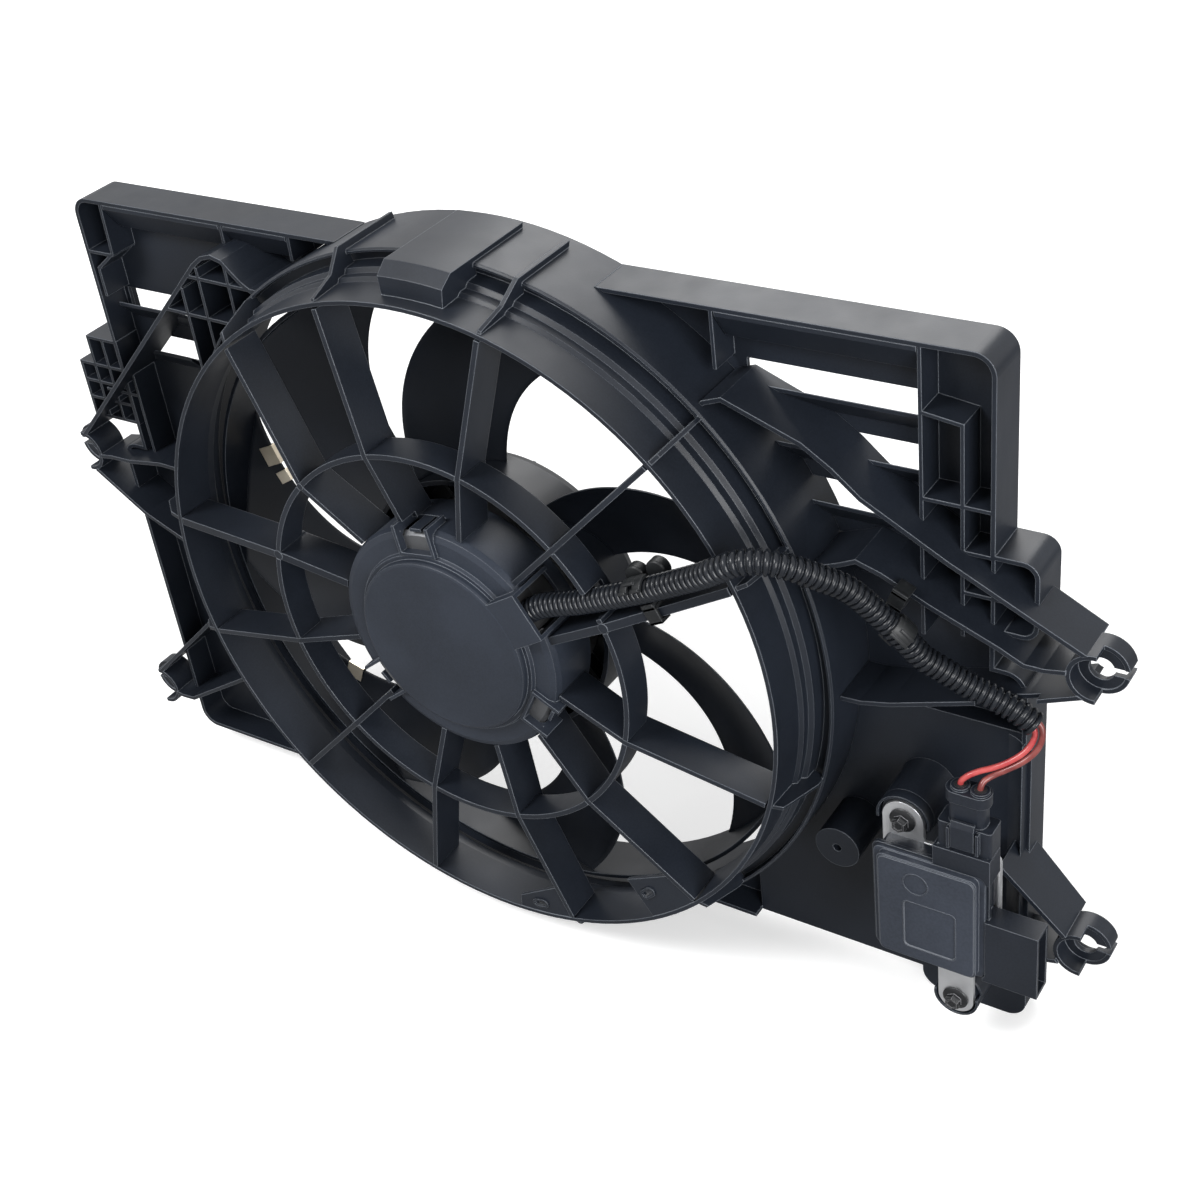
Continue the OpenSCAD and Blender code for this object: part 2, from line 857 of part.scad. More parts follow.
module brush_card() color("#5b4a36") upright() {
    difference() {
        union() {
            translate([0, 0, card_back])
                cylinder(h = card_t, r = card_r, $fn = fine);
            for (i = [0:brush_count - 1])
                rotate([0, 0, 45 + i * 90])
                    brush_box(box_in, box_out, brush_w + 2 * box_wall, brush_back - box_wall,
                        card_back + 1 - brush_back + box_wall);
        }
        for (i = [0:brush_count - 1])
            rotate([0, 0, 45 + i * 90])
                brush_box(box_in - 1, box_out - box_wall, brush_w + 2 * brush_gap, brush_back - brush_gap,
                    brush_h + 2 * brush_gap);
        translate([0, 0, card_back - 1])
            cylinder(h = card_t + 2, r = commutator_r + 1, $fn = 64);
        rotate([0, 0, outlet_angle])
            translate([can_in - 5, -notch_w / 2, card_back - 1])
                cube([20, notch_w, card_t + 2]);
    }
}

brush_len = 11;
module brushes() color("#2c2c2e") upright() {
    for (i = [0:brush_count - 1])
        rotate([0, 0, 45 + i * 90])
            brush_box(commutator_r + seat, commutator_r + seat + brush_len, brush_w, brush_back, brush_h);
}

spring_t = 0.6;
spring_turns = 5;
module brush_springs() color("#a9acb1") upright() {
    from = commutator_r + seat + brush_len + spring_t;
    to = box_out - box_wall - spring_t;
    step = (to - from) / spring_turns;
    for (i = [0:brush_count - 1])
        rotate([0, 0, 45 + i * 90])
            translate([0, 0, brush_back + 1.5])
                linear_extrude(4)
                    strip([for (k = [0:spring_turns]) [from + k * step, k % 2 == 0 ? -2.6 : 2.6]], spring_t);
}

// Rubber grommet that fills the motor's notch; the conduit ends on its face
conduit_start = can_r + 4;
module lead_grommet() color("#1d1e20") upright() {
    rotate([0, 0, outlet_angle])
        difference() {
            translate([can_in - 4.5, -notch_w / 2 + seat, flange_back - 8.7])
                cube([conduit_start - can_in + 4.5, notch_w - 2 * seat, 18]);
            for (y = [-wire_d, wire_d])
                translate([can_in - 6, y, conduit_depth])
                    rotate([0, 90, 0])
                        cylinder(h = 8, d = wire_d, $fn = 32);
        }
}

module motor_shaft() color("#b4b7bc") upright() {
    rotate_extrude($fn = 64)
        polygon([
            [0, shaft_back],
            [shaft_r - 0.6, shaft_back],
            [shaft_r, shaft_back + 0.6],
            [shaft_r, shaft_top - 0.6],
            [shaft_r - 0.6, shaft_top],
            [0, shaft_top]
        ]);
}

// Armature: a slotted iron core with a coil in each slot
slot_r = 38;
slot_bore = 6;
coil_r = 5.4;
coil_end = 7;
module armature_core() color("#6d7076") upright() {
    translate([0, 0, core_back])
        linear_extrude(core_front - core_back)
            difference() {
                circle(r = armature_r, $fn = fine);
                circle(r = shaft_r, $fn = 64);
                for (i = [0:armature_teeth - 1])
                    rotate(i * 360 / armature_teeth) {
                        translate([slot_r, 0]) circle(r = slot_bore, $fn = 32);
                        translate([slot_r, -1.5]) square([20, 3]);
                    }
            }
}

module armature_windings() color("#b0673a") upright() {
    for (back = [core_back - coil_end, core_front])
        translate([0, 0, back])
            linear_extrude(coil_end) ring2d(slot_r + coil_r + 1, slot_r - 14);
    for (i = [0:armature_teeth - 1])
        rotate([0, 0, i * 360 / armature_teeth])
            translate([slot_r, 0, core_back - 1])
                cylinder(h = core_front - core_back + 2, r = coil_r, $fn = 32);
}

commutator_bars = 24;
module commutator() color("#b5764a") upright() {
    difference() {
        translate([0, 0, commutator_back])
            cylinder(h = commutator_front - commutator_back, r = commutator_r, $fn = 64);
        translate([0, 0, commutator_back - 1])
            cylinder(h = 20, r = shaft_r, $fn = 64);
        for (i = [0:commutator_bars - 1])
            rotate([0, 0, i * 360 / commutator_bars])
                translate([commutator_r - 1, -0.3, commutator_back - 1])
                    cube([4, 0.6, 20]);
    }
}

// The fan
hub_wall = 3;
hub_back = 10;
hub_front = 54;
insert_r = 9;
insert_back = 8;
insert_front = 22;
hub_ribs = 14;
hub_rib_t = 2;
module fan_hub() color("#1f2023") upright() {
    rotate_extrude($fn = fine)
        polygon([
            [insert_r, insert_back],
            [insert_r + 5, insert_back],
            [insert_r + 6, hub_back],
            [hub_r - 8, hub_back],
            [hub_r - 2.5, hub_back + 2.5],
            [hub_r, hub_back + 8],
            [hub_r, hub_front],
            [hub_r - hub_wall, hub_front],
            [hub_r - hub_wall, hub_back + 9],
            [hub_r - hub_wall - 2, hub_back + 5],
            [hub_r - 9, hub_back + hub_wall],
            [insert_r + 5, hub_back + hub_wall],
            [insert_r + 5, insert_front],
            [insert_r, insert_front]
        ]);
    for (i = [0:hub_ribs - 1])
        rotate([0, 0, i * 360 / hub_ribs])
            translate([insert_r + 4, -hub_rib_t / 2, hub_back + 2])
                cube([hub_r - hub_wall - insert_r - 3.5, hub_rib_t, 10]);
}

module hub_insert() color("#a5a8ad") upright() {
    difference() {
        translate([0, 0, insert_back])
            cylinder(h = insert_front - insert_back, r = insert_r, $fn = 64);
        translate([0, 0, insert_back - 1])
            cylinder(h = 20, r = shaft_r, $fn = 64);
    }
}

nut_across = 13;
module shaft_nut() color("#9da0a6") upright() {
    difference() {
        translate([0, 0, insert_back - 5])
            cylinder(h = 5, d = nut_across / cos(30), $fn = 6);
        translate([0, 0, insert_back - 6])
            cylinder(h = 7, r = shaft_r, $fn = 64);
    }
}

// Blades: where each one's engine-side edge stands at the middle radius, in degrees
blade_angles = [107.8, 49.3, 4.3, -53.6, -97.3, -150, -203];
blade_mid_r = 130;
band_t = 2.5;
band_r = throat_in - tip_gap;
band_back = 20;
band_front = 52;
// Shift of a blade's two edges with the radius, in degrees
function front_shift(r) = let (d = r - blade_mid_r) -0.2576 * d - 0.00103 * d * d;
function back_shift(r) = let (d = r - blade_mid_r) -28.4 - 0.2075 * d - 0.00194 * d * d;

stations = 9;
chords = 6;
camber = 5;
edge_t = 1.2;
function station_r(i) = hub_r + seam + (band_r - band_t - hub_r - 2 * seam) * i / stations;
function chord_angle(r, t) = back_shift(r) * (1 - t) + front_shift(r) * t;
function chord_depth(t) = blade_back + (blade_front - blade_back) * t - camber * 4 * t * (1 - t);
function half_t(t) = (edge_t + (blade_t - edge_t) * 4 * t * (1 - t)) / 2;
// A point of the blade: station i, chord j, and side 1 or -1
function blade_point(i, j, side) = let (r = station_r(i), t = j / chords, p = polar(r, chord_angle(r, t)))
    [p.x, p.y, chord_depth(t) + side * half_t(t)];

module blade() {
    row = 2 * (chords + 1);
    points = [for (i = [0:stations], side = [1, -1], j = [0:chords]) blade_point(i, j, side)];
    back = chords + 1;
    walls = [for (i = [0:stations - 1], j = [0:chords - 1]) each [
        [i * row + j, (i + 1) * row + j + 1, (i + 1) * row + j],
        [i * row + j, i * row + j + 1, (i + 1) * row + j + 1],
        [i * row + back + j, (i + 1) * row + back + j, (i + 1) * row + back + j + 1],
        [i * row + back + j, (i + 1) * row + back + j + 1, i * row + back + j + 1]
    ]];
    edges = [for (i = [0:stations - 1]) each [
        [i * row, (i + 1) * row + back, i * row + back],
        [i * row, (i + 1) * row, (i + 1) * row + back],
        [i * row + chords, i * row + back + chords, (i + 1) * row + back + chords],
        [i * row + chords, (i + 1) * row + back + chords, (i + 1) * row + chords]
    ]];
    last = stations * row;
    caps = [for (j = [0:chords - 1]) each [
        [j, back + j, back + j + 1, j + 1],
        [last + j, last + j + 1, last + back + j + 1, last + back + j]
    ]];
    polyhedron(points, concat(walls, edges, caps));
}

module fan_blades() color("#26282b") upright() {
    for (a = blade_angles)
        rotate([0, 0, a]) blade();
}

module fan_band() color("#26282b") upright() {
    rotate_extrude($fn = fine)
        polygon([
            [band_r - band_t, band_back],
            [band_r + 1, band_back],
            [band_r + 1, band_back + 2],
            [band_r, band_back + 3],
            [band_r, band_front],
            [band_r - band_t, band_front]
        ]);
}

// Sheet clips on the radiator-side edges of blades: [blade, radius, width, reach]
balance = [[5, 184, 13, 9], [5, 174.5, 8, 7], [4, 186, 12, 9]];
clip_t = 0.6;
clip_half = 1.4;
clip_lean = 9.2;
clip_off = 1;
function edge_turn(r) = atan(r * PI / 180 * (0.2075 + 0.00388 * (r - blade_mid_r)));
module balance_clips() color("#a9acb1") upright() {
    for (c = balance)
        rotate([0, 0, blade_angles[c[0]] + back_shift(c[1])])
            translate([c[1], 0, blade_back])
                rotate([0, 0, -edge_turn(c[1])])
                    rotate([clip_lean, 0, 0])
                        difference() {
                            translate([-c[2] / 2, -clip_t - clip_off, -clip_half - clip_t])
                                cube([c[2], c[3] + clip_t + clip_off, 2 * clip_half + 2 * clip_t]);
                            translate([-c[2], -clip_off, -clip_half])
                                cube([2 * c[2], c[3] + 5, 2 * clip_half]);
                        }
}

// A round tube along a path
// Its direction at point i
function path_run(path, i) = let (
    n = len(path) - 1,
    before = unit(path[max(i, 1)] - path[max(i, 1) - 1]),
    after = unit(path[min(i, n - 1) + 1] - path[min(i, n - 1)]))
    unit(before + after);

module tube(path, d, sides) {
    n = len(path) - 1;
    points = [for (i = [0:n]) let (
        run = path_run(path, i),
        u = unit(cross(run, [0.1, 0.05, 1])),
        v = cross(run, u))
        for (k = [0:sides - 1]) path[i] + (u * cos(k * 360 / sides) + v * sin(k * 360 / sides)) * d / 2];
    walls = [for (i = [0:n - 1], k = [0:sides - 1]) let (m = (k + 1) % sides) each [
        [i * sides + k, (i + 1) * sides + k, (i + 1) * sides + m],
        [i * sides + k, (i + 1) * sides + m, i * sides + m]
    ]];
    start_cap = [[for (k = [0:sides - 1]) k]];
    end_cap = [[for (k = [sides - 1:-1:0]) n * sides + k]];
    polyhedron(points, concat(walls, start_cap, end_cap));
}

conduit_depth = 88;
conduit_from = polar(conduit_start, outlet_angle);
conduit_next = polar(conduit_start + 14, outlet_angle);
conduit_path = [
    [conduit_from.x, conduit_from.y, conduit_depth],
    [conduit_next.x, conduit_next.y, conduit_depth],
    [95, 52, 89],
    [116, 62, 90.5],
    [136, 72, 92],
    [157, 84, 95],
    [178, 96, 97],
    [190, 104, 98],
    [201, 110, 97],
    [213, 111, 93],
    [224, 107, 87],
    [236, 98, 78],
    [246, 89, 70],
    [257, 74, 63],
    [267, 60, 58],
    [276, 46, 53],
    [285, 38, 49],
    [298, 29, 45],
    [313, 22, 42],
    [323, 17, 41],
    [331, 11, 40]
];
module conduit() color("#1b1c1e") upright()
    tube(conduit_path, conduit_d, 12);

// Leads from the conduit to the plug
conduit_end = conduit_path[len(conduit_path) - 1];
end_run = path_run(conduit_path, len(conduit_path) - 1);
end_side = unit(cross(end_run, [0, 0, 1]));
plug_top = -24;
seal_depth = 61;
seal_x = [300, 311];
lead_start = 2.2;
function lead_start_at(side) = conduit_end + end_side * side * lead_start;
red_path = [
    lead_start_at(1),
    lead_start_at(1) + end_run * 2,
    [332.7, 5.8, 40],
    [332, 2, 41],
    [328.9, -3.5, 45],
    [322.5, -8, 49.5],
    [315.8, -11.8, 53],
    [309.5, -13.6, 57],
    [304.8, -15.5, 59.5],
    [seal_x[0] + 1, -19.5, seal_depth],
    [seal_x[0], -22, seal_depth],
    [seal_x[0], plug_top - 2, seal_depth]
];
brown_path = [
    lead_start_at(-1),
    [335.6, 10.4, 39.6],
    [336.8, 4, 41],
    [334.8, -2.6, 43],
    [331.4, -6.8, 45],
    [324.8, -11.3, 49.5],
    [317.8, -15.3, 53],
    [313.2, -17, 57],
    [seal_x[1] + 0.3, -18.9, seal_depth - 1],
    [seal_x[1], -21.4, seal_depth],
    [seal_x[1], plug_top - 2, seal_depth]
];
module wire_red() color("#a8312b") upright()
    tube(red_path, wire_d, 8);

module wire_brown() color("#5a3b26") upright()
    tube(brown_path, wire_d, 8);

// Clips that hold the conduit
clip_bore = conduit_d / 2 + 0.3;
clip_ring_t = 2;
clip_len = 9;
module clip_ring(at, angle, tilt) {
    translate(at)
        rotate([0, 90 - tilt, angle])
            difference() {
                cylinder(h = clip_len, r = clip_bore + clip_ring_t, center = true, $fn = 48);
                cylinder(h = clip_len + 2, r = clip_bore, center = true, $fn = 48);
            }
}

inner_clip_r = 158;
inner_clip_angle = 27.4;
inner_clip_rib = polar(inner_clip_r, 22.75);
inner_clip_off = 14.3;
module conduit_clip_inner() color("#18191b") upright() {
    at = inner_clip_rib + left_of(polar(inner_clip_off, inner_clip_angle));
    fork = rib_mid_front - 2.9;
    difference() {
        union() {
            clip_ring([at.x, at.y, 93.9], 29.5, 7);
            translate([inner_clip_rib.x, inner_clip_rib.y, 0])
                rotate([0, 0, inner_clip_angle]) {
                    translate([-clip_len / 2, -5, fork]) cube([clip_len, inner_clip_off - 2, 2]);
                    translate([-clip_len / 2, -5, fork - 6]) cube([clip_len, 1.8, 7]);
                    translate([-clip_len / 2, 3.3, fork - 6]) cube([clip_len, 1.8, 7]);
                }
        }
        tube(conduit_path, conduit_d + 0.4, 12);
    }
}

outer_clip = [266, 61.4, 58.5];
outer_clip_angle = -54.5;
outer_clip_foot = [262, 74.6];
module conduit_clip_outer() color("#18191b") upright() {
    difference() {
        union() {
            clip_ring(outer_clip, outer_clip_angle, -16);
            translate([outer_clip_foot.x, outer_clip_foot.y, 0])
                rotate([0, 0, -24.0]) {
                    translate([-4, -12, 46]) cube([8, 17, 2.2]);
                    translate([-4, -12, 46]) cube([8, 3, 8]);
                    translate([-4, 2.2, 40]) cube([8, 2, 7]);
                    translate([-4, -4.2, 40]) cube([8, 2, 7]);
                }
        }
        tube(conduit_path, conduit_d + 0.4, 12);
    }
}

// The control module on its bracket
module_x = 285.2;
module_y = -112;
bracket_back = upper_boss[2];
housing_back = bracket_back + bracket_t;
flange_top = 67;
flange_t = 2.5;
housing_w = module_w - 5;
housing_h = module_h - 7;
housing_wall = 2.2;
cover_top = 73.7;
ear_r = 12;
module at_module() {
    translate([module_x, module_y, 0]) children();
}

module plate2d(w, h, r) {
    rounded(-w / 2, -h / 2, w / 2, h / 2, r);
}

module module_bracket() color("#a3a6ab") upright() {
    translate([0, 0, bracket_back])
        linear_extrude(bracket_t)
            difference() {
                union() {
                    translate([module_x, module_y]) plate2d(housing_w + 3, housing_h + 1, 3);
                    translate([upper_boss.x, upper_boss.y]) circle(r = ear_r, $fn = 64);
                    translate([upper_boss.x - ear_r, upper_boss.y - 18]) square([2 * ear_r, 18]);
                    translate([lower_boss.x, lower_boss.y]) circle(r = ear_r - 1.5, $fn = 64);
                    translate([lower_boss.x - ear_r + 1.5, lower_boss.y]) square([2 * ear_r - 3, 48]);
                }
                for (b = [upper_boss, lower_boss])
                    translate([b.x, b.y]) circle(r = screw_r + 0.4, $fn = 32);
            }
}

bolt_flange_r = 7.5;
bolt_across = 8;
module module_screws() color("#161719") upright() {
    for (b = [upper_boss, lower_boss])
        translate([b.x, b.y, 0]) {
            translate([0, 0, b[2] - boss_hole_depth + 2])
                cylinder(h = housing_back - b[2] + boss_hole_depth - 1.5, r = screw_r, $fn = 48);
            translate([0, 0, housing_back])
                cylinder(h = 1.8, r = bolt_flange_r, $fn = 64);
            translate([0, 0, housing_back + 1])
                cylinder(h = 5.5, d = bolt_across / cos(30), $fn = 6);
        }
}

// Power socket on the housing's right side, and the lead socket on its upper side
socket = [316, -150, 56];
socket_size = [31, 44, 14];
pin_back = 61;
lead_socket = [288, -79, 56];
lead_socket_size = [32, 17, 14];
socket_wall = 1.8;
board_back = 60;
board_t = 1.6;
module module_housing() color("#17181a") upright() {
    difference() {
        union() {
            at_module() {
                translate([0, 0, housing_back])
                    linear_extrude(flange_top - housing_back) plate2d(housing_w, housing_h, 3);
                translate([0, 0, flange_top - flange_t])
                    linear_extrude(flange_t) plate2d(module_w, module_h, 4);
            }
            translate(socket) cube(socket_size);
            translate(lead_socket) cube(lead_socket_size);
        }
        at_module()
            translate([0, 0, flange_top])
                linear_extrude(20) plate2d(module_w - 3 + 2 * seat, module_h - 2 + 2 * seat, 4);
        at_module()
            translate([0, 0, housing_back + housing_wall])
                linear_extrude(20)
                    plate2d(housing_w - 2 * housing_wall, housing_h - 2 * housing_wall, 2);
        translate(socket + [3, socket_wall, socket_wall])
            cube(socket_size - [2, 2 * socket_wall, 2 * socket_wall]);
        translate(lead_socket + [socket_wall, 3, socket_wall])
            cube(lead_socket_size - [2 * socket_wall, 2, 2 * socket_wall]);
    }
    for (x = [-22, 22], y = [-26, 26])
        at_module()
            translate([x, y, housing_back + 1])
                cylinder(h = board_back - housing_back - 1, r = 2.5, $fn = 32);
}

module module_cover() color("#1c1d1f") upright() {
    difference() {
        at_module() {
            translate([0, 0, flange_top])
                linear_extrude(2) plate2d(module_w - 3, module_h - 2, 4);
            translate([0, 0, flange_top + 1])
                linear_extrude(cover_top - flange_top - 2) plate2d(module_w - 10, module_h - 4, 4);
            translate([0, 0, flange_top + 1])
                linear_extrude(cover_top - flange_top - 1) plate2d(module_w - 12, module_h - 6, 4);
        }
        at_module()
            translate([0, 0, flange_top - 1])
                linear_extrude(cover_top - flange_top - 1) plate2d(module_w - 16, module_h - 10, 3);
        translate([0, 0, cover_top - 0.6])
            linear_extrude(2) rounded(272.5, -138, 302, -105, 3);
        translate([279.5, -90.8, cover_top - 0.4])
            cylinder(h = 2, r = 7, $fn = 48);
    }
}

module module_board() color("#23532f") upright() {
    at_module() {
        translate([0, 0, board_back])
            linear_extrude(board_t) plate2d(housing_w - 6, housing_h - 6, 2);
        for (x = [-15, 0, 15])
            translate([x, 8, board_back + board_t - 0.2])
                cylinder(h = 5.2, r = 5, $fn = 32);
        translate([-18, -22, board_back + board_t - 0.2]) cube([36, 14, 3.2]);
    }
}

module socket_pins() color("#b9a06a") upright() {
    for (y = [-140, -128, -116])
        translate([socket.x + 1, y - 3, pin_back])
            cube([22, 6, 1.2]);
}

// The lead plug enters the lead socket from above
plug_gap = 0.2;
plug_in = 5;
plug_x = 304.8;
module plug_bar(y0, y1, w, h, r) {
    translate([plug_x, y1, seal_depth])
        rotate([90, 0, 0])
            linear_extrude(y1 - y0) plate2d(w, h, r);
}

module lead_plug() color("#202124") upright() {
    in = lead_socket + [socket_wall + plug_gap, plug_in, socket_wall + plug_gap];
    size = lead_socket_size - [2 * socket_wall + 2 * plug_gap, 0, 2 * socket_wall + 2 * plug_gap];
    rim = lead_socket.y + lead_socket_size.y;
    difference() {
        union() {
            translate(in) cube([size.x, rim - in.y + 1, size.z]);
            plug_bar(rim + seat, -45, 30, 14, 2);
            plug_bar(-46, plug_top - 6, 20.5, 11, 4);
            plug_bar(plug_top - 7, plug_top, 24.5, 13, 6);
            for (x = seal_x)
                translate([x, plug_top + 1.5, seal_depth])
                    rotate([90, 0, 0])
                        cylinder(h = 3, r = 5, $fn = 48);
            for (side = [-1, 1])
                translate([plug_x + side * 8 - 0.8, -60, seal_depth + 6.5]) cube([1.6, 14, 3]);
        }
        for (x = seal_x)
            translate([x, plug_top + 3, seal_depth])
                rotate([90, 0, 0])
                    cylinder(h = 14, r = 3.2, $fn = 32);
    }
}

module plug_latch() color("#2a2b2e") upright() {
    translate([plug_x - 6.5, 0, 0])
        rotate([90, 0, 90])
            linear_extrude(13)
                polygon([
                    [-60, 68],
                    [-58, 71],
                    [-44, 71],
                    [-41, 69.5],
                    [-41, 68]
                ]);
}

module wire_seals() color("#7a4a2c") upright() {
    for (x = seal_x)
        translate([x, plug_top + 2, seal_depth])
            rotate([90, 0, 0])
                difference() {
                    cylinder(h = 12, r = 3.1, $fn = 32);
                    translate([0, 0, -1]) cylinder(h = 20, r = wire_d / 2 + 0.1, $fn = 32);
                }
}

shroud_panel();
louvre_slats();
module_bosses();
fan_barrel();
stator_spokes();
tie_ring();
motor_cup();
lug_upper_left();
lug_lower_left();
lug_upper_right();
lug_lower_right();
motor_can();
motor_end_plate();
motor_magnets();
fan_side_bearing();
end_bearing();
brush_card();
brushes();
brush_springs();
lead_grommet();
motor_shaft();
armature_core();
armature_windings();
commutator();
fan_hub();
fan_blades();
fan_band();
hub_insert();
shaft_nut();
balance_clips();
conduit();
wire_red();
wire_brown();
conduit_clip_inner();
conduit_clip_outer();
module_bracket();
module_housing();
module_cover();
module_board();
module_screws();
socket_pins();
lead_plug();
plug_latch();
wire_seals();
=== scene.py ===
"""Dressed model of a car's radiator cooling fan, built around its CAD frame.

The assemblies keep their sizes in millimetres: x across the shroud, z up, and depth from the
radiator side towards the engine. bench() turns them into the frame's metres.
"""

import logging
import math
from dataclasses import dataclass, field
from enum import Enum
from typing import Any, Sequence, Union

import bmesh
import bpy
import numpy as np
from mathutils import Matrix, Vector

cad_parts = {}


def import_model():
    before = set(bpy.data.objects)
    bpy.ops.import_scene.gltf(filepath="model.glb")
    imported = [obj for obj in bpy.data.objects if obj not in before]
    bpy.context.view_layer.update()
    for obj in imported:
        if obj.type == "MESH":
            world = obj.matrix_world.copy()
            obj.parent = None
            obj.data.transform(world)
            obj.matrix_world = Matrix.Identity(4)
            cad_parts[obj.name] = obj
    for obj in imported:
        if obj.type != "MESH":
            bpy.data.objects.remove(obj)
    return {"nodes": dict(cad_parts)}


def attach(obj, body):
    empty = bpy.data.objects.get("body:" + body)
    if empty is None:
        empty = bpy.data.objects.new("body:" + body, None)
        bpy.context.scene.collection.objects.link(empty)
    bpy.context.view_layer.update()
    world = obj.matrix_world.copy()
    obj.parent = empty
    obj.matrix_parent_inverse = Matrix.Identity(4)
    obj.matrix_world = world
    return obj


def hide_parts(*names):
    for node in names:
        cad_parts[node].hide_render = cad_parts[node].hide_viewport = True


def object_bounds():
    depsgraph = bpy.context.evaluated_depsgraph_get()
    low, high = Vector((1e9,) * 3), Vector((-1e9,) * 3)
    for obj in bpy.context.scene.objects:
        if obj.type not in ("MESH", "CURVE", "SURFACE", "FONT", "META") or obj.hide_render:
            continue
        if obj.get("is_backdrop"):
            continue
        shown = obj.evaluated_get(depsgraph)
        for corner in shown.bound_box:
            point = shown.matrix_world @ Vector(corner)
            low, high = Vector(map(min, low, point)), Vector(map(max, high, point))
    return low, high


LOG = logging.getLogger("radiator_fan")
MM = 0.001
Pair = tuple[float, float]
Point = tuple[float, float, float]
Colour = tuple[float, float, float]
Piece = bpy.types.Object
Material = bpy.types.Material
WHITE = (1.0, 1.0, 1.0, 1.0)
EVEN = (1.0, 1.0, 1.0)
# Sockets of the Mix node that hold colours, as their names repeat
MIX_A, MIX_B, MIX_RESULT = 6, 7, 2


class Body(str, Enum):
    """The two rigid bodies of the part."""

    SHROUD = "shroud"
    FAN = "fan"


# Shader maths
class Sock:
    """An output socket of a shader node that takes part in arithmetic."""

    def __init__(self, graph: "Nodes", socket: bpy.types.NodeSocket) -> None:
        """Keeps the socket and the node tree that it belongs to."""
        self.graph = graph
        self.socket = socket

    def _math(self, operation: str, *values: "Operand") -> "Sock":
        """Adds a Math node on the values and returns its output."""
        settings = {"operation": operation}
        return self.graph.node("ShaderNodeMath", settings, dict(enumerate(values)))

    def __add__(self, other: "Operand") -> "Sock":
        """Adds."""
        return self._math("ADD", self, other)

    __radd__ = __add__

    def __sub__(self, other: "Operand") -> "Sock":
        """Subtracts."""
        return self._math("SUBTRACT", self, other)

    def __rsub__(self, other: "Operand") -> "Sock":
        """Subtracts from a number."""
        return self._math("SUBTRACT", other, self)

    def __mul__(self, other: "Operand") -> "Sock":
        """Multiplies."""
        return self._math("MULTIPLY", self, other)

    __rmul__ = __mul__

    def larger(self, other: "Operand") -> "Sock":
        """Takes the larger of two values."""
        return self._math("MAXIMUM", self, other)

    def clamp(self) -> "Sock":
        """Limits the value to 0 and 1."""
        return self.graph.node("ShaderNodeClamp", {}, {"Value": self})

    def step(self, low: float, high: float) -> "Sock":
        """Goes smoothly from 0 at low to 1 at high."""
        values = {"Value": self, "From Min": low, "From Max": high, "To Min": 0.0, "To Max": 1.0}
        return self.graph.node("ShaderNodeMapRange", {"interpolation_type": "SMOOTHSTEP"}, values)


Operand = Union[Sock, float]


class Nodes:
    """The node tree of a material or of the world."""

    def __init__(self, owner: bpy.types.ID) -> None:
        """Empties the owner's tree.

        Args:
            owner: the material or the world.
        """
        owner.use_nodes = True
        self.tree = owner.node_tree
        self.tree.nodes.clear()

    def node(
        self,
        kind: str,
        settings: dict[str, Any],
        values: dict[Any, Any],
        output: Union[str, int] = 0,
    ) -> Sock:
        """Adds a node.

        Args:
            kind: the node's type.
            settings: its properties, which are set first.
            values: a value or a link for each input, by name or number.
            output: the output that is wanted, by name or number.

        Returns:
            That output.
        """
        made = self.tree.nodes.new(kind)
        for key, value in settings.items():
            setattr(made, key, value)
        for key, value in values.items():
            if isinstance(value, Sock):
                self.tree.links.new(value.socket, made.inputs[key])
            else:
                made.inputs[key].default_value = value
        return Sock(self, made.outputs[output])

    def end(self, kind: str, shader: Sock) -> None:
        """Leads a shader to a new output node."""
        self.tree.links.new(shader.socket, self.tree.nodes.new(kind).inputs["Surface"])


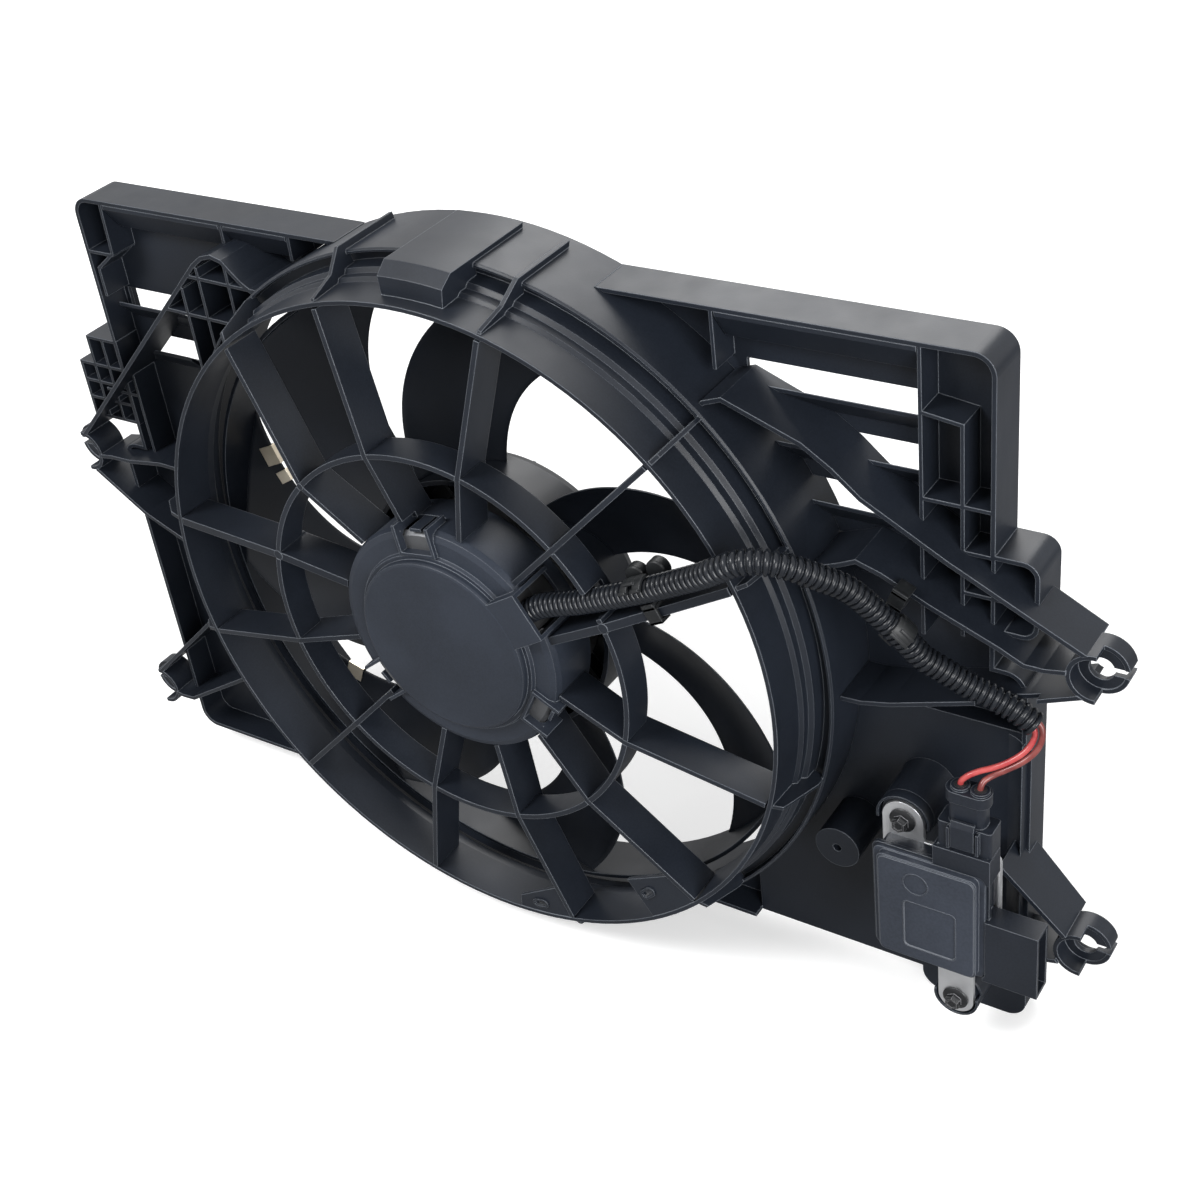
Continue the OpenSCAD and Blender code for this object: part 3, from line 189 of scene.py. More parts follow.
class Graph(Nodes):
    """The node graph of one material."""

    def __init__(self, name: str) -> None:
        """Starts a material with a Principled shader.

        Args:
            name: the material's name.
        """
        self.material = bpy.data.materials.new(name)
        super().__init__(self.material)
        self.shader = self.tree.nodes.new("ShaderNodeBsdfPrincipled")
        self.place = self.node("ShaderNodeTexCoord", {}, {}, "Object")

    def noise(self, scale: float, detail: float = 2.0, stretch: Point = EVEN) -> Sock:
        """Adds noise in the object's own space.

        Args:
            scale: waves per metre.
            detail: octaves.
            stretch: how much denser the noise is along each axis.

        Returns:
            The noise, from 0 to 1.
        """
        place = self.place
        if stretch != EVEN:
            place = self.node("ShaderNodeMapping", {}, {"Vector": place, "Scale": stretch})
        values = {"Vector": place, "Scale": scale, "Detail": detail}
        return self.node("ShaderNodeTexNoise", {}, values)

    def cells(self, scale: float) -> Sock:
        """Adds the distance to the nearest of scattered points, so many per metre."""
        return self.node("ShaderNodeTexVoronoi", {}, {"Vector": self.place, "Scale": scale})

    def mix(self, factor: Operand, first: Any, second: Any) -> Sock:
        """Mixes two colours.

        Args:
            factor: share of the second one.
            first: the first colour or link.
            second: the second colour or link.

        Returns:
            The mixed colour.
        """
        a, b = ((*c, 1.0) if isinstance(c, tuple) else c for c in (first, second))
        values = {"Factor": factor, MIX_A: a, MIX_B: b}
        return self.node("ShaderNodeMix", {"data_type": "RGBA"}, values, MIX_RESULT)

    def edges(self, radius: float) -> tuple[Sock, Sock]:
        """Rounds the shading at sharp edges.

        Args:
            radius: the rounding, in metres.

        Returns:
            The rounded normal, and a mask that is 1 on the edges.
        """
        soft = self.node("ShaderNodeBevel", {"samples": 6}, {"Radius": radius})
        flat = self.node("ShaderNodeNewGeometry", {}, {}, "Normal")
        dot = {"operation": "DOT_PRODUCT"}
        same = self.node("ShaderNodeVectorMath", dot, {0: soft, 1: flat}, "Value")
        return soft, (1.0 - same).step(0.02, 0.22)

    def bump(
        self, height: Sock, distance: float, strength: float, normal: Sock | None = None
    ) -> Sock:
        """Adds a bump.

        Args:
            height: the height.
            distance: the depth of the bump in metres.
            strength: its share.
            normal: the normal that it starts from.

        Returns:
            The normal.
        """
        values: dict[Any, Any] = {"Height": height, "Distance": distance, "Strength": strength}
        if normal is not None:
            values["Normal"] = normal
        return self.node("ShaderNodeBump", {}, values)

    def set(self, **values: Any) -> None:
        """Sets the shader's sockets.

        Args:
            values: each socket's value or link, with _ for a space in its name.
        """
        for key, value in values.items():
            socket = self.shader.inputs[key.replace("_", " ")]
            if isinstance(value, Sock):
                self.tree.links.new(value.socket, socket)
            else:
                socket.default_value = (*value, 1.0) if isinstance(value, tuple) else value

    def finish(self) -> Material:
        """Leads the shader to the output and returns the material."""
        self.end("ShaderNodeOutputMaterial", Sock(self, self.shader.outputs["BSDF"]))
        return self.material


# Finishes
@dataclass(frozen=True)
class Moulding:
    """Black glass-filled plastic, slightly mottled, with a painted highlight along its edges."""

    name: str
    colour: Colour = (0.0086, 0.0108, 0.0155)
    # Colour of the painted highlight that lightens the edges
    edge_highlight_colour: Colour = (0.2, 0.22, 0.25)
    roughness: float = 0.38
    grain: float = 900.0
    grain_depth: float = 0.00006
    edge_radius: float = 0.0009
    cloud: float = 14.0
    flow: float = 60.0
    mottle: float = 1.7

    def build(self) -> Material:
        """Builds the material.

        Returns:
            The material.
        """
        g = Graph(self.name)
        cloud = g.noise(self.cloud, 3.0)
        flow = g.noise(self.flow, 2.0, (1.0, 1.0, 0.3))
        fine = g.noise(self.grain, 2.0)
        normal, edge = g.edges(self.edge_radius)
        speck = 0.65 * cloud.step(0.3, 0.7) + 0.35 * fine.step(0.35, 0.65)
        base = g.mix(speck, self.colour, tuple(self.mottle * c for c in self.colour))
        # Painted highlight: the edges are lightened, more where the flow noise is high, to stand in
        # for the light they catch
        painted_edge_highlight = (edge * (0.55 + 0.6 * flow)).clamp()
        g.set(
            Base_Color=g.mix(painted_edge_highlight, base, self.edge_highlight_colour),
            Roughness=self.roughness + 0.16 * (flow - 0.5) + 0.08 * (fine - 0.5),
            Normal=g.bump(fine, self.grain_depth, 0.35, normal),
            Specular_IOR_Level=0.3,
        )
        return g.finish()


@dataclass(frozen=True)
class Metal:
    """Bare or plated metal with fine marks along one direction."""

    name: str
    colour: Colour = (0.55, 0.56, 0.58)
    spots: Colour = (0.42, 0.42, 0.43)
    roughness: float = 0.32
    brushed: Point = EVEN
    marks: float = 900.0
    cloud: float = 45.0
    edge_radius: float = 0.0005

    def build(self) -> Material:
        """Builds the material.

        Returns:
            The material.
        """
        g = Graph(self.name)
        marks = g.noise(self.marks, 3.0, self.brushed)
        cloud = g.noise(self.cloud, 3.0)
        normal, edge = g.edges(self.edge_radius)
        rough = self.roughness + 0.25 * (marks - 0.5) + 0.12 * cloud - 0.1 * edge
        g.set(
            Base_Color=g.mix(cloud.step(0.45, 0.7), self.colour, self.spots),
            Metallic=1.0,
            Roughness=rough.clamp(),
            Normal=g.bump(marks, 0.00003, 0.3, normal),
        )
        return g.finish()


@dataclass(frozen=True)
class Rubber:
    """Soft insulation or a seal, slightly uneven."""

    name: str
    colour: Colour
    pale: Colour
    roughness: float = 0.5
    cloud: float = 120.0
    grain: float = 2500.0

    def build(self) -> Material:
        """Builds the material.

        Returns:
            The material.
        """
        g = Graph(self.name)
        cloud = g.noise(self.cloud, 3.0)
        fine = g.noise(self.grain, 1.0)
        g.set(
            Base_Color=g.mix(cloud.step(0.35, 0.75), self.colour, self.pale),
            Roughness=self.roughness + 0.2 * (cloud - 0.5),
            Normal=g.bump(fine, 0.00003, 0.4),
        )
        return g.finish()


@dataclass(frozen=True)
class Board:
    """A circuit board's lacquer over its copper tracks."""

    name: str
    colour: Colour = (0.012, 0.11, 0.04)
    track: Colour = (0.03, 0.2, 0.07)
    tracks: float = 420.0

    def build(self) -> Material:
        """Builds the material.

        Returns:
            The material.
        """
        g = Graph(self.name)
        tracks = g.cells(self.tracks).step(0.35, 0.4)
        g.set(
            Base_Color=g.mix(tracks, self.colour, self.track),
            Roughness=0.28 + 0.15 * g.noise(200.0),
            Normal=g.bump(tracks, 0.00005, 0.6),
        )
        return g.finish()


@dataclass(frozen=True)
class Winding:
    """Enamelled copper wire laid side by side."""

    name: str
    colour: Colour = (0.55, 0.19, 0.06)
    dark: Colour = (0.2, 0.05, 0.015)
    strands: float = 380.0

    def build(self) -> Material:
        """Builds the material.

        Returns:
            The material.
        """
        g = Graph(self.name)
        wave = {"Vector": g.place, "Scale": self.strands, "Distortion": 1.5}
        strands = g.node("ShaderNodeTexWave", {"bands_direction": "Z"}, wave, "Fac")
        g.set(
            Base_Color=g.mix(strands.step(0.2, 0.6), self.dark, self.colour),
            Metallic=0.85,
            Roughness=0.34 + 0.1 * g.noise(300.0),
            Normal=g.bump(strands, 0.0003, 0.8),
        )
        return g.finish()


class Finishes:
    """Every finish of the part, built once."""

    def __init__(self) -> None:
        """Builds the materials."""
        # A moulding's second colour is the painted highlight along its edges
        self.shroud = Moulding("shroud_moulding").build()
        self.cup = Moulding(
            "cup_moulding", (0.0165, 0.0203, 0.0285), roughness=0.42, grain=1100.0
        ).build()
        self.fan = Moulding(
            "fan_moulding", (0.0046, 0.006, 0.009), (0.12, 0.135, 0.155),
            roughness=0.34, grain=1400.0, grain_depth=0.00003,
        ).build()
        self.gloss = Moulding(
            "module_plastic", (0.009, 0.011, 0.0155), (0.18, 0.195, 0.22),
            roughness=0.34, grain=700.0, grain_depth=0.00004, edge_radius=0.0008,
        ).build()
        self.cover = Moulding(
            "module_cover_plastic", (0.0235, 0.028, 0.038), (0.2, 0.215, 0.24),
            roughness=0.46, grain=600.0, grain_depth=0.00012,
        ).build()
        self.conduit = Moulding(
            "conduit_plastic", (0.009, 0.0105, 0.0135), (0.12, 0.13, 0.15),
            roughness=0.2, grain=1500.0, grain_depth=0.00001, edge_radius=0.0008,
        ).build()
        self.clip = Moulding(
            "clip_plastic", (0.01, 0.011, 0.012), (0.06, 0.062, 0.068), roughness=0.4
        ).build()
        self.bolt = Moulding(
            "blackened_bolt", (0.012, 0.0125, 0.0135), (0.34, 0.34, 0.36),
            roughness=0.2, grain=1500.0, grain_depth=0.00002, edge_radius=0.0006,
        ).build()
        self.card = Moulding(
            "phenolic_card", (0.12, 0.07, 0.035), (0.2, 0.13, 0.07), roughness=0.5
        ).build()
        self.carbon = Moulding(
            "brush_carbon", (0.015, 0.015, 0.016), (0.04, 0.04, 0.042), roughness=0.55
        ).build()
        self.plate = Metal(
            "zinc_plated_steel", (0.86, 0.87, 0.89), (0.74, 0.75, 0.77), 0.36, (1.0, 1.0, 0.08)
        ).build()
        # Painted shade: the can's steel is darkened so the latch windows look black, as the shade
        # inside the cup makes them
        self.can = Metal(
            "motor_can_shade_darkened_steel", (0.2, 0.205, 0.215), (0.15, 0.155, 0.16), 0.5, (1.0, 0.06, 1.0)
        ).build()
        self.ground = Metal(
            "ground_steel", (0.66, 0.67, 0.69), roughness=0.18, brushed=(1.0, 0.05, 1.0)
        ).build()
        self.iron = Metal(
            "core_iron", (0.28, 0.29, 0.31), (0.22, 0.2, 0.19), 0.45, (0.1, 1.0, 0.1)
        ).build()
        self.magnet = Metal("ferrite", (0.1, 0.1, 0.105), (0.08, 0.08, 0.08), 0.55).build()
        self.spring = Metal("spring_steel", roughness=0.28).build()
        self.tin = Metal("tinned_clip", (0.86, 0.78, 0.64), (0.72, 0.64, 0.5), 0.36).build()
        self.brass = Metal("tinned_brass", (0.72, 0.6, 0.34), (0.6, 0.48, 0.26), 0.25).build()
        self.copper = Metal(
            "copper_bars", (0.72, 0.36, 0.2), (0.5, 0.22, 0.12), 0.25, (1.0, 1.0, 0.1)
        ).build()
        self.winding = Winding("copper_winding").build()
        self.rubber = Rubber(
            "black_rubber", (0.012, 0.012, 0.013), (0.022, 0.022, 0.024), 0.6
        ).build()
        self.red = Rubber("red_insulation", (0.36, 0.035, 0.04), (0.47, 0.08, 0.075), 0.28).build()
        self.brown = Rubber(
            "brown_insulation", (0.15, 0.028, 0.026), (0.27, 0.07, 0.06), 0.28
        ).build()
        self.seal = Rubber("silicone_seal", (0.014, 0.014, 0.015), (0.03, 0.03, 0.032)).build()
        self.board = Board("circuit_board").build()


# Mesh helpers
def deselect() -> None:
    """Leaves edit mode and deselects everything."""
    if bpy.context.mode != "OBJECT":
        bpy.ops.object.mode_set(mode="OBJECT")
    bpy.ops.object.select_all(action="DESELECT")
    bpy.context.view_layer.objects.active = None


def take(piece: Piece) -> None:
    """Selects one object alone and makes it active.

    Args:
        piece: the object.
    """
    deselect()
    piece.select_set(True)
    bpy.context.view_layer.objects.active = piece


def settle(piece: Piece) -> Piece:
    """Applies the modifiers and the place of a piece.

    Args:
        piece: the object.

    Returns:
        The same object.
    """
    take(piece)
    for modifier in list(piece.modifiers):
        bpy.ops.object.modifier_apply(modifier=modifier.name)
    bpy.ops.object.transform_apply(location=True, rotation=True, scale=True)
    return piece


def bench(x: float, z: float, depth: float) -> Vector:
    """A point in metres from x, height z and depth over the radiator side in millimetres."""
    return Vector((x * MM, -depth * MM, z * MM))


def smooth(piece: Piece, angle: float = 35.0) -> Piece:
    """Shades a piece smooth up to an angle.

    Args:
        piece: the object.
        angle: the limit in degrees.

    Returns:
        The same object.
    """
    take(piece)
    bpy.ops.object.shade_smooth_by_angle(angle=math.radians(angle))
    return piece


def finish_piece(
    piece: Piece, name: str, body: Body, material: Material, slot: str, *nodes: str
) -> None:
    """Names, dresses and mounts a piece.

    Args:
        piece: the object.
        name: its name.
        body: the body that carries it.
        material: its finish.
        slot: a material slot's name; not used.
        nodes: the CAD nodes that it stands for.
    """
    piece.name = name
    piece.data.name = name
    piece.data.materials.clear()
    piece.data.materials.append(material)
    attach(piece, body.value)
    if nodes:
        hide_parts(*nodes)
    LOG.info("%s: %d faces on %s", name, len(piece.data.polygons), body.value)


def spline(points: Sequence[Vector], step: float) -> list[Vector]:
    """Samples a smooth curve through points at even steps.

    Args:
        points: the points.
        step: the distance between samples.

    Returns:
        The samples.
    """
    ends = [points[0] * 2 - points[1], *points, points[-1] * 2 - points[-2]]
    raw: list[Vector] = []
    for a, b, c, d in zip(ends, ends[1:], ends[2:], ends[3:]):
        for t in (k / 24 for k in range(24)):
            bend = (2 * a - 5 * b + 4 * c - d) * t * t
            twist = (3 * b - a - 3 * c + d) * t * t * t
            raw.append(0.5 * (2 * b + (c - a) * t + bend + twist))
    raw.append(points[-1].copy())
    lengths = np.cumsum([0.0] + [(q - p).length for p, q in zip(raw, raw[1:])])
    count = max(2, round(float(lengths[-1]) / step))
    coordinates = np.array([tuple(p) for p in raw])
    at = np.linspace(0.0, float(lengths[-1]), count + 1)
    return [Vector(tuple(np.interp(s, lengths, coordinates[:, k]) for k in range(3))) for s in at]


def swept(name: str, path: Sequence[Vector], radii: Sequence[float], sides: int) -> Piece:
    """Makes a closed tube along a path.

    Args:
        name: the mesh's name.
        path: the centre of each ring.
        radii: the radius of each ring.
        sides: points to a ring.

    Returns:
        The tube.
    """
    mesh = bmesh.new()
    run = (path[1] - path[0]).normalized()
    side = run.cross(Vector((0.1, -1.0, 0.05))).normalized()
    rings: list[list[bmesh.types.BMVert]] = []
    for i, centre in enumerate(path):
        ahead = path[min(i + 1, len(path) - 1)] - path[max(i - 1, 0)]
        run = ahead.normalized()
        side = (side - run * side.dot(run)).normalized()
        up = run.cross(side)
        ring = []
        for k in range(sides):
            angle = 2 * math.pi * k / sides
            out = side * math.cos(angle) + up * math.sin(angle)
            ring.append(mesh.verts.new(centre + out * radii[i]))
        rings.append(ring)
    for lower, upper in zip(rings, rings[1:]):
        for k in range(sides):
            m = (k + 1) % sides
            mesh.faces.new((lower[k], lower[m], upper[m], upper[k]))
    mesh.faces.new(rings[0][::-1])
    mesh.faces.new(rings[-1])
    data = bpy.data.meshes.new(name)
    mesh.to_mesh(data)
    mesh.free()
    piece = bpy.data.objects.new(name, data)
    bpy.context.scene.collection.objects.link(piece)
    return piece


def extrude(shift: Vector) -> None:
    """Extrudes all that is selected in edit mode."""
    bpy.ops.mesh.extrude_region_move(TRANSFORM_OT_translate={"value": tuple(shift)})


def eased(piece: Piece, width: float, angle: float = 40.0) -> Piece:
    """Bevels a piece's sharp edges and settles it.

    Args:
        piece: the object.
        width: the bevel's width in millimetres.
        angle: how sharp an edge has to be, in degrees.

    Returns:
        The same object.
    """
    edge = piece.modifiers.new("edge", "BEVEL")
    edge.width = width * MM
    edge.segments = 2
    edge.limit_method = "ANGLE"
    edge.angle_limit = math.radians(angle)
    return smooth(settle(piece), angle)


def outwards() -> None:
    """Turns every face of the edited mesh outwards and leaves edit mode."""
    bpy.ops.mesh.select_all(action="SELECT")
    bpy.ops.mesh.normals_make_consistent(inside=False)
    bpy.ops.object.mode_set(mode="OBJECT")


@dataclass(frozen=True)
class Drawing:
    """A plane for drawing on: its zero point in metres and its two axes."""

    origin: Vector
    u: Vector
    v: Vector

    def at(self, a: float, b: float, out: float) -> Vector:
        """A point in metres from its place and its height over the drawing in millimetres."""
        return self.origin + (self.u * a + self.v * b + self.normal() * out) * MM

    def normal(self) -> Vector:
        """The direction that faces out of the drawing."""
        return self.u.cross(self.v)


def facing(x: float, z: float, turn: float = 0.0) -> Drawing:
    """Places a drawing that faces the engine side.

    Args:
        x: its zero point along X, in millimetres.
        z: its zero point's height.
        turn: its turn in degrees.

    Returns:
        The drawing.
    """
    angle = math.radians(turn)
    along = Vector((math.cos(angle), 0.0, math.sin(angle)))
    across = Vector((-math.sin(angle), 0.0, math.cos(angle)))
    return Drawing(bench(x, z, 0.0), along, across)


def raised(name: str, line: Sequence[Pair], plane: Drawing, ends: Pair, fill: str) -> Piece:
    """Lays a circle's points along a drawn line and extrudes them.

    Args:
        name: the object's name.
        line: the closed line, as points in millimetres.
        plane: what it is drawn on.
        ends: the heights where the form starts and ends, in millimetres.
        fill: the circle's fill type.

    Returns:
        The form.
    """
    deselect()
    bpy.ops.mesh.primitive_circle_add(vertices=len(line), radius=0.01, fill_type=fill)
    piece = bpy.context.active_object
    piece.name = name
    for vertex, (a, b) in zip(piece.data.vertices, line):
        vertex.co = plane.at(a, b, ends[0])
    bpy.ops.object.mode_set(mode="EDIT")
    bpy.ops.mesh.select_all(action="SELECT")
    extrude(plane.normal() * (ends[1] - ends[0]) * MM)
    outwards()
    return piece


def prism(
    name: str, outline: Sequence[Pair], plane: Drawing, ends: Pair, bevel: float = 0.3
) -> Piece:
    """Makes a prism of a drawn outline, with bevels of a width in millimetres."""
    return eased(raised(name, outline, plane, ends, "NGON"), bevel)


def band(line: Sequence[Pair], thickness: float) -> list[Pair]:
    """Outline of a band of even thickness along a line.

    Args:
        line: the band's middle, as points.
        thickness: its thickness.

    Returns:
        The outline.
    """
    points = [Vector(p) for p in line]
    sides: tuple[list[Pair], list[Pair]] = ([], [])
    for i, point in enumerate(points):
        run = (points[min(i + 1, len(points) - 1)] - points[max(i - 1, 0)]).normalized()
        across = Vector((-run.y, run.x)) * thickness / 2
        sides[0].append(tuple(point + across))
        sides[1].append(tuple(point - across))
    return sides[0] + sides[1][::-1]


def hoop(name: str, line: Sequence[Pair], thickness: float, plane: Drawing, ends: Pair) -> Piece:
    """Makes a closed hoop along a drawn loop.

    Args:
        name: the object's name.
        line: the loop's middle, as points in millimetres.
        thickness: the hoop's wall in millimetres.
        plane: what it is drawn on.
        ends: the heights where it starts and ends, in millimetres.

    Returns:
        The hoop.
    """
    piece = raised(name, line, plane, ends, "NOTHING")
    wall = piece.modifiers.new("wall", "SOLIDIFY")
    wall.thickness = thickness * MM
    wall.offset = 0.0
    return eased(piece, 0.2)


def arc(radius: float, start: float, end: float, count: int) -> list[Pair]:
    """Points along an arc round the zero point, with its angles in degrees."""
    turns = np.radians(np.linspace(start, end, count))
    return [(radius * math.cos(a), radius * math.sin(a)) for a in turns]


def turned(name: str, x: float, z: float, rings: Sequence[Pair], sides: int = 64) -> Piece:
    """Builds a form up from a disc, ring by ring, along the fan's direction.

    Args:
        name: the object's name.
        x: its axis along X, in millimetres.
        z: its axis' height.
        rings: depth and radius of each ring.
        sides: points to a ring.

    Returns:
        The form.
    """
    deselect()
    depth, radius = rings[0]
    bpy.ops.mesh.primitive_circle_add(
        vertices=sides,
        radius=radius * MM,
        fill_type="NGON",
        location=bench(x, z, depth),
        rotation=(math.pi / 2, 0.0, 0.0),
    )
    piece = bpy.context.active_object
    piece.name = name
    bpy.ops.object.mode_set(mode="EDIT")
    bpy.ops.mesh.select_all(action="SELECT")
    for next_depth, next_radius in rings[1:]:
        extrude(Vector((0.0, (depth - next_depth) * MM, 0.0)))
        share = next_radius / radius
        centre = bench(x, z, next_depth)
        bpy.ops.transform.resize(value=(share, share, share), center_override=centre)
        depth, radius = next_depth, next_radius
    outwards()
    return smooth(settle(piece), 30)


def joined(parts: Sequence[Piece]) -> Piece:
    """Joins pieces.

    Args:
        parts: the pieces.

    Returns:
        The first of them, which holds them all.
    """
    deselect()
    for piece in parts:
        piece.select_set(True)
    bpy.context.view_layer.objects.active = parts[0]
    bpy.ops.object.join()
    return parts[0]


# Studio
@dataclass(frozen=True)
class Lamp:
    """A soft square lamp: where it hangs, its side in metres and its power in watts."""

    name: str
    place: Point
    size: float
    power: float

    def hang(self, target: Vector) -> None:
        """Hangs the lamp.

        Args:
            target: the point that it faces.
        """
        data = bpy.data.lights.new(self.name, "AREA")
        data.size = self.size
        data.energy = self.power
        lamp = bpy.data.objects.new(self.name, data)
        bpy.context.scene.collection.objects.link(lamp)
        lamp.location = self.place
        lamp.rotation_mode = "QUATERNION"
        lamp.rotation_quaternion = (target - Vector(self.place)).to_track_quat("-Z", "Y")


@dataclass
class Studio:
    """Floor, light and camera."""

    focal_px: float = 1850.42
    image_px: float = 1200.0
    sensor_mm: float = 36.0
    place: Point = (0.592773, -0.733224, 0.60893)
    right: Point = (0.838138, 0.533861, -0.111878)
    down: Point = (0.227811, -0.52897, -0.817492)
    ahead: Point = (-0.495607, 0.659684, -0.564969)
    sight: Pair = (0.01, 50.0)
    floor_side: float = 12.0
    floor_colour: Colour = (0.9, 0.9, 0.9)
    floor_glow: float = 0.3
    floor_bounce: Colour = (0.32, 0.32, 0.32)
    floor_fade: Pair = (0.7, 1.9)
    room_light: float = 0.36
    lamps: tuple[Lamp, ...] = (
        Lamp("key", (-0.9, -1.5, 1.8), 0.9, 47.0),
        Lamp("fill", (1.9, -1.2, 0.7), 1.3, 54.0),
        Lamp("back", (-0.4, 1.6, 1.5), 1.4, 26.0),
    )

    def camera(self) -> None:
        """Places the camera at the photograph's viewing angle."""
        data = bpy.data.cameras.new("camera")
        data.sensor_width = self.sensor_mm
        data.lens = self.focal_px / self.image_px * data.sensor_width
        data.clip_start, data.clip_end = self.sight
        camera = bpy.data.objects.new("camera", data)
        bpy.context.scene.collection.objects.link(camera)
        axes = (self.right, [-c for c in self.down], [-c for c in self.ahead])
        turn = Matrix(axes).transposed()
        camera.matrix_world = Matrix.Translation(self.place) @ turn.to_4x4()
        bpy.context.scene.camera = camera

    def floor(self, height: float) -> None:
        """Lays a plain pale floor, which glows more the further it lies from the part.

        Args:
            height: the floor's height in metres.
        """
        deselect()
        bpy.ops.mesh.primitive_plane_add(size=self.floor_side, location=(0.0, 0.0, height))
        floor = bpy.context.active_object
        floor.name = "floor"
        g = Graph("pale_floor")
        g.set(Base_Color=self.floor_colour, Roughness=0.95, Specular_IOR_Level=0.0)
        length = {"operation": "LENGTH"}
        away = g.node("ShaderNodeVectorMath", length, {0: g.place}, "Value")
        glow = self.floor_glow + (1.0 - self.floor_glow) * away.step(*self.floor_fade)
        white = g.node("ShaderNodeEmission", {}, {"Strength": glow})
        pale = Sock(g, g.shader.outputs["BSDF"])
        seen = g.node("ShaderNodeAddShader", {}, {0: pale, 1: white})
        dim = g.node("ShaderNodeBsdfDiffuse", {}, {"Color": (*self.floor_bounce, 1.0)})
        camera = g.node("ShaderNodeLightPath", {}, {}, "Is Camera Ray")
        shown = g.node("ShaderNodeMixShader", {}, {"Fac": camera, 1: dim, 2: seen})
        g.end("ShaderNodeOutputMaterial", shown)
        floor.data.materials.append(g.material)
        floor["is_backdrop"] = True

    def world(self) -> None:
        """Lights the room evenly, with white where the camera and mirrors see it."""
        world = bpy.data.worlds.new("room")
        g = Nodes(world)
        rays = g.tree.nodes.new("ShaderNodeLightPath")
        camera, mirror, glass = (
            Sock(g, rays.outputs[f"Is {kind} Ray"]) for kind in ("Camera", "Glossy", "Transmission")
        )
        seen = camera.larger(mirror).larger(glass)
        limits = {"Value": seen, "To Min": self.room_light, "To Max": 1.0}
        strength = g.node("ShaderNodeMapRange", {}, limits)
        white = g.node("ShaderNodeBackground", {}, {"Color": WHITE, "Strength": strength})
        g.end("ShaderNodeOutputWorld", white)
        bpy.context.scene.world = world

    def build(self, height: float) -> None:
        """Builds the whole studio.

        Args:
            height: the floor's height in metres.
        """
        self.camera()
        self.floor(height)
        self.world()
        for lamp in self.lamps:
            lamp.hang(Vector())
        bpy.context.scene.view_settings.view_transform = "Standard"


# The fan wheel
@dataclass
class FanWheel:
    """The seven-bladed wheel."""

    angles: tuple[float, ...] = (107.8, 49.3, 4.3, -53.6, -97.3, -150.0, -203.0)
    root_r: float = 83.9
    tip_r: float = 201.1
    mid_r: float = 130.0
    back: float = 24.0
    front: float = 50.0
    camber: float = 5.0
    thick: float = 3.0
    edge_thick: float = 1.1
    # How an edge turns with the distance from mid_r, in degrees
    front_sweep: Point = (0.0, -0.2576, -0.00103)
    back_sweep: Point = (-28.4, -0.2075, -0.00194)
    rows: int = 48
    columns: int = 20

    def shift(self, sweep: Point, r: float) -> float:
        """Turn of one of a blade's edges at a radius, in degrees."""
        d = r - self.mid_r
        return sweep[0] + sweep[1] * d + sweep[2] * d * d

    def half_thickness(self, t: float) -> float:
        """Half a blade's thickness at a share of its chord."""
        return (self.edge_thick + (self.thick - self.edge_thick) * 4 * t * (1 - t)) / 2

    def surface(self, s: float, t: float, side: float, turn: float) -> Vector:
        """A point of a blade.

        Args:
            s: share of the span from the root.
            t: share of the chord from the radiator side.
            side: 1 for the engine side and -1 for the other.
            turn: the blade's angle in degrees.

        Returns:
            The point in metres.
        """
        r = self.root_r + (self.tip_r - self.root_r) * s
        back, front = self.shift(self.back_sweep, r), self.shift(self.front_sweep, r)
        angle = math.radians(turn + back * (1 - t) + front * t)
        depth = self.back + (self.front - self.back) * t - self.camber * 4 * t * (1 - t)
        depth += side * self.half_thickness(t)
        return bench(r * math.cos(angle), r * math.sin(angle), depth)

    def blade(self, turn: float) -> Piece:
        """Shapes one blade from two grids.

        Args:
            turn: its angle in degrees.

        Returns:
            The blade.
        """
        sheets = []
        for side in (1.0, -1.0):
            deselect()
            bpy.ops.mesh.primitive_grid_add(
                x_subdivisions=self.rows, y_subdivisions=self.columns, size=2.0
            )
            sheet = bpy.context.active_object
            for vertex in sheet.data.vertices:
                s, t = (vertex.co.x + 1) / 2, (vertex.co.y + 1) / 2
                vertex.co = self.surface(s, t, side, turn)
            sheets.append(sheet)
        piece = joined(sheets)
        bpy.ops.object.mode_set(mode="EDIT")
        bpy.ops.mesh.select_mode(type="EDGE")
        bpy.ops.mesh.select_all(action="DESELECT")
        bpy.ops.mesh.select_non_manifold()
        bpy.ops.mesh.bridge_edge_loops()
        outwards()
        return eased(piece, 0.4, 50)

    def build(self, finishes: Finishes) -> None:
        """Builds the blades.

        Args:
            finishes: the part's finishes.
        """
        for index, turn in enumerate(self.angles):
            name, nodes = f"blade_{index + 1}", ("fan_blades",) if index == 0 else ()
            finish_piece(self.blade(turn), name, Body.FAN, finishes.fan, "fan_blades", *nodes)


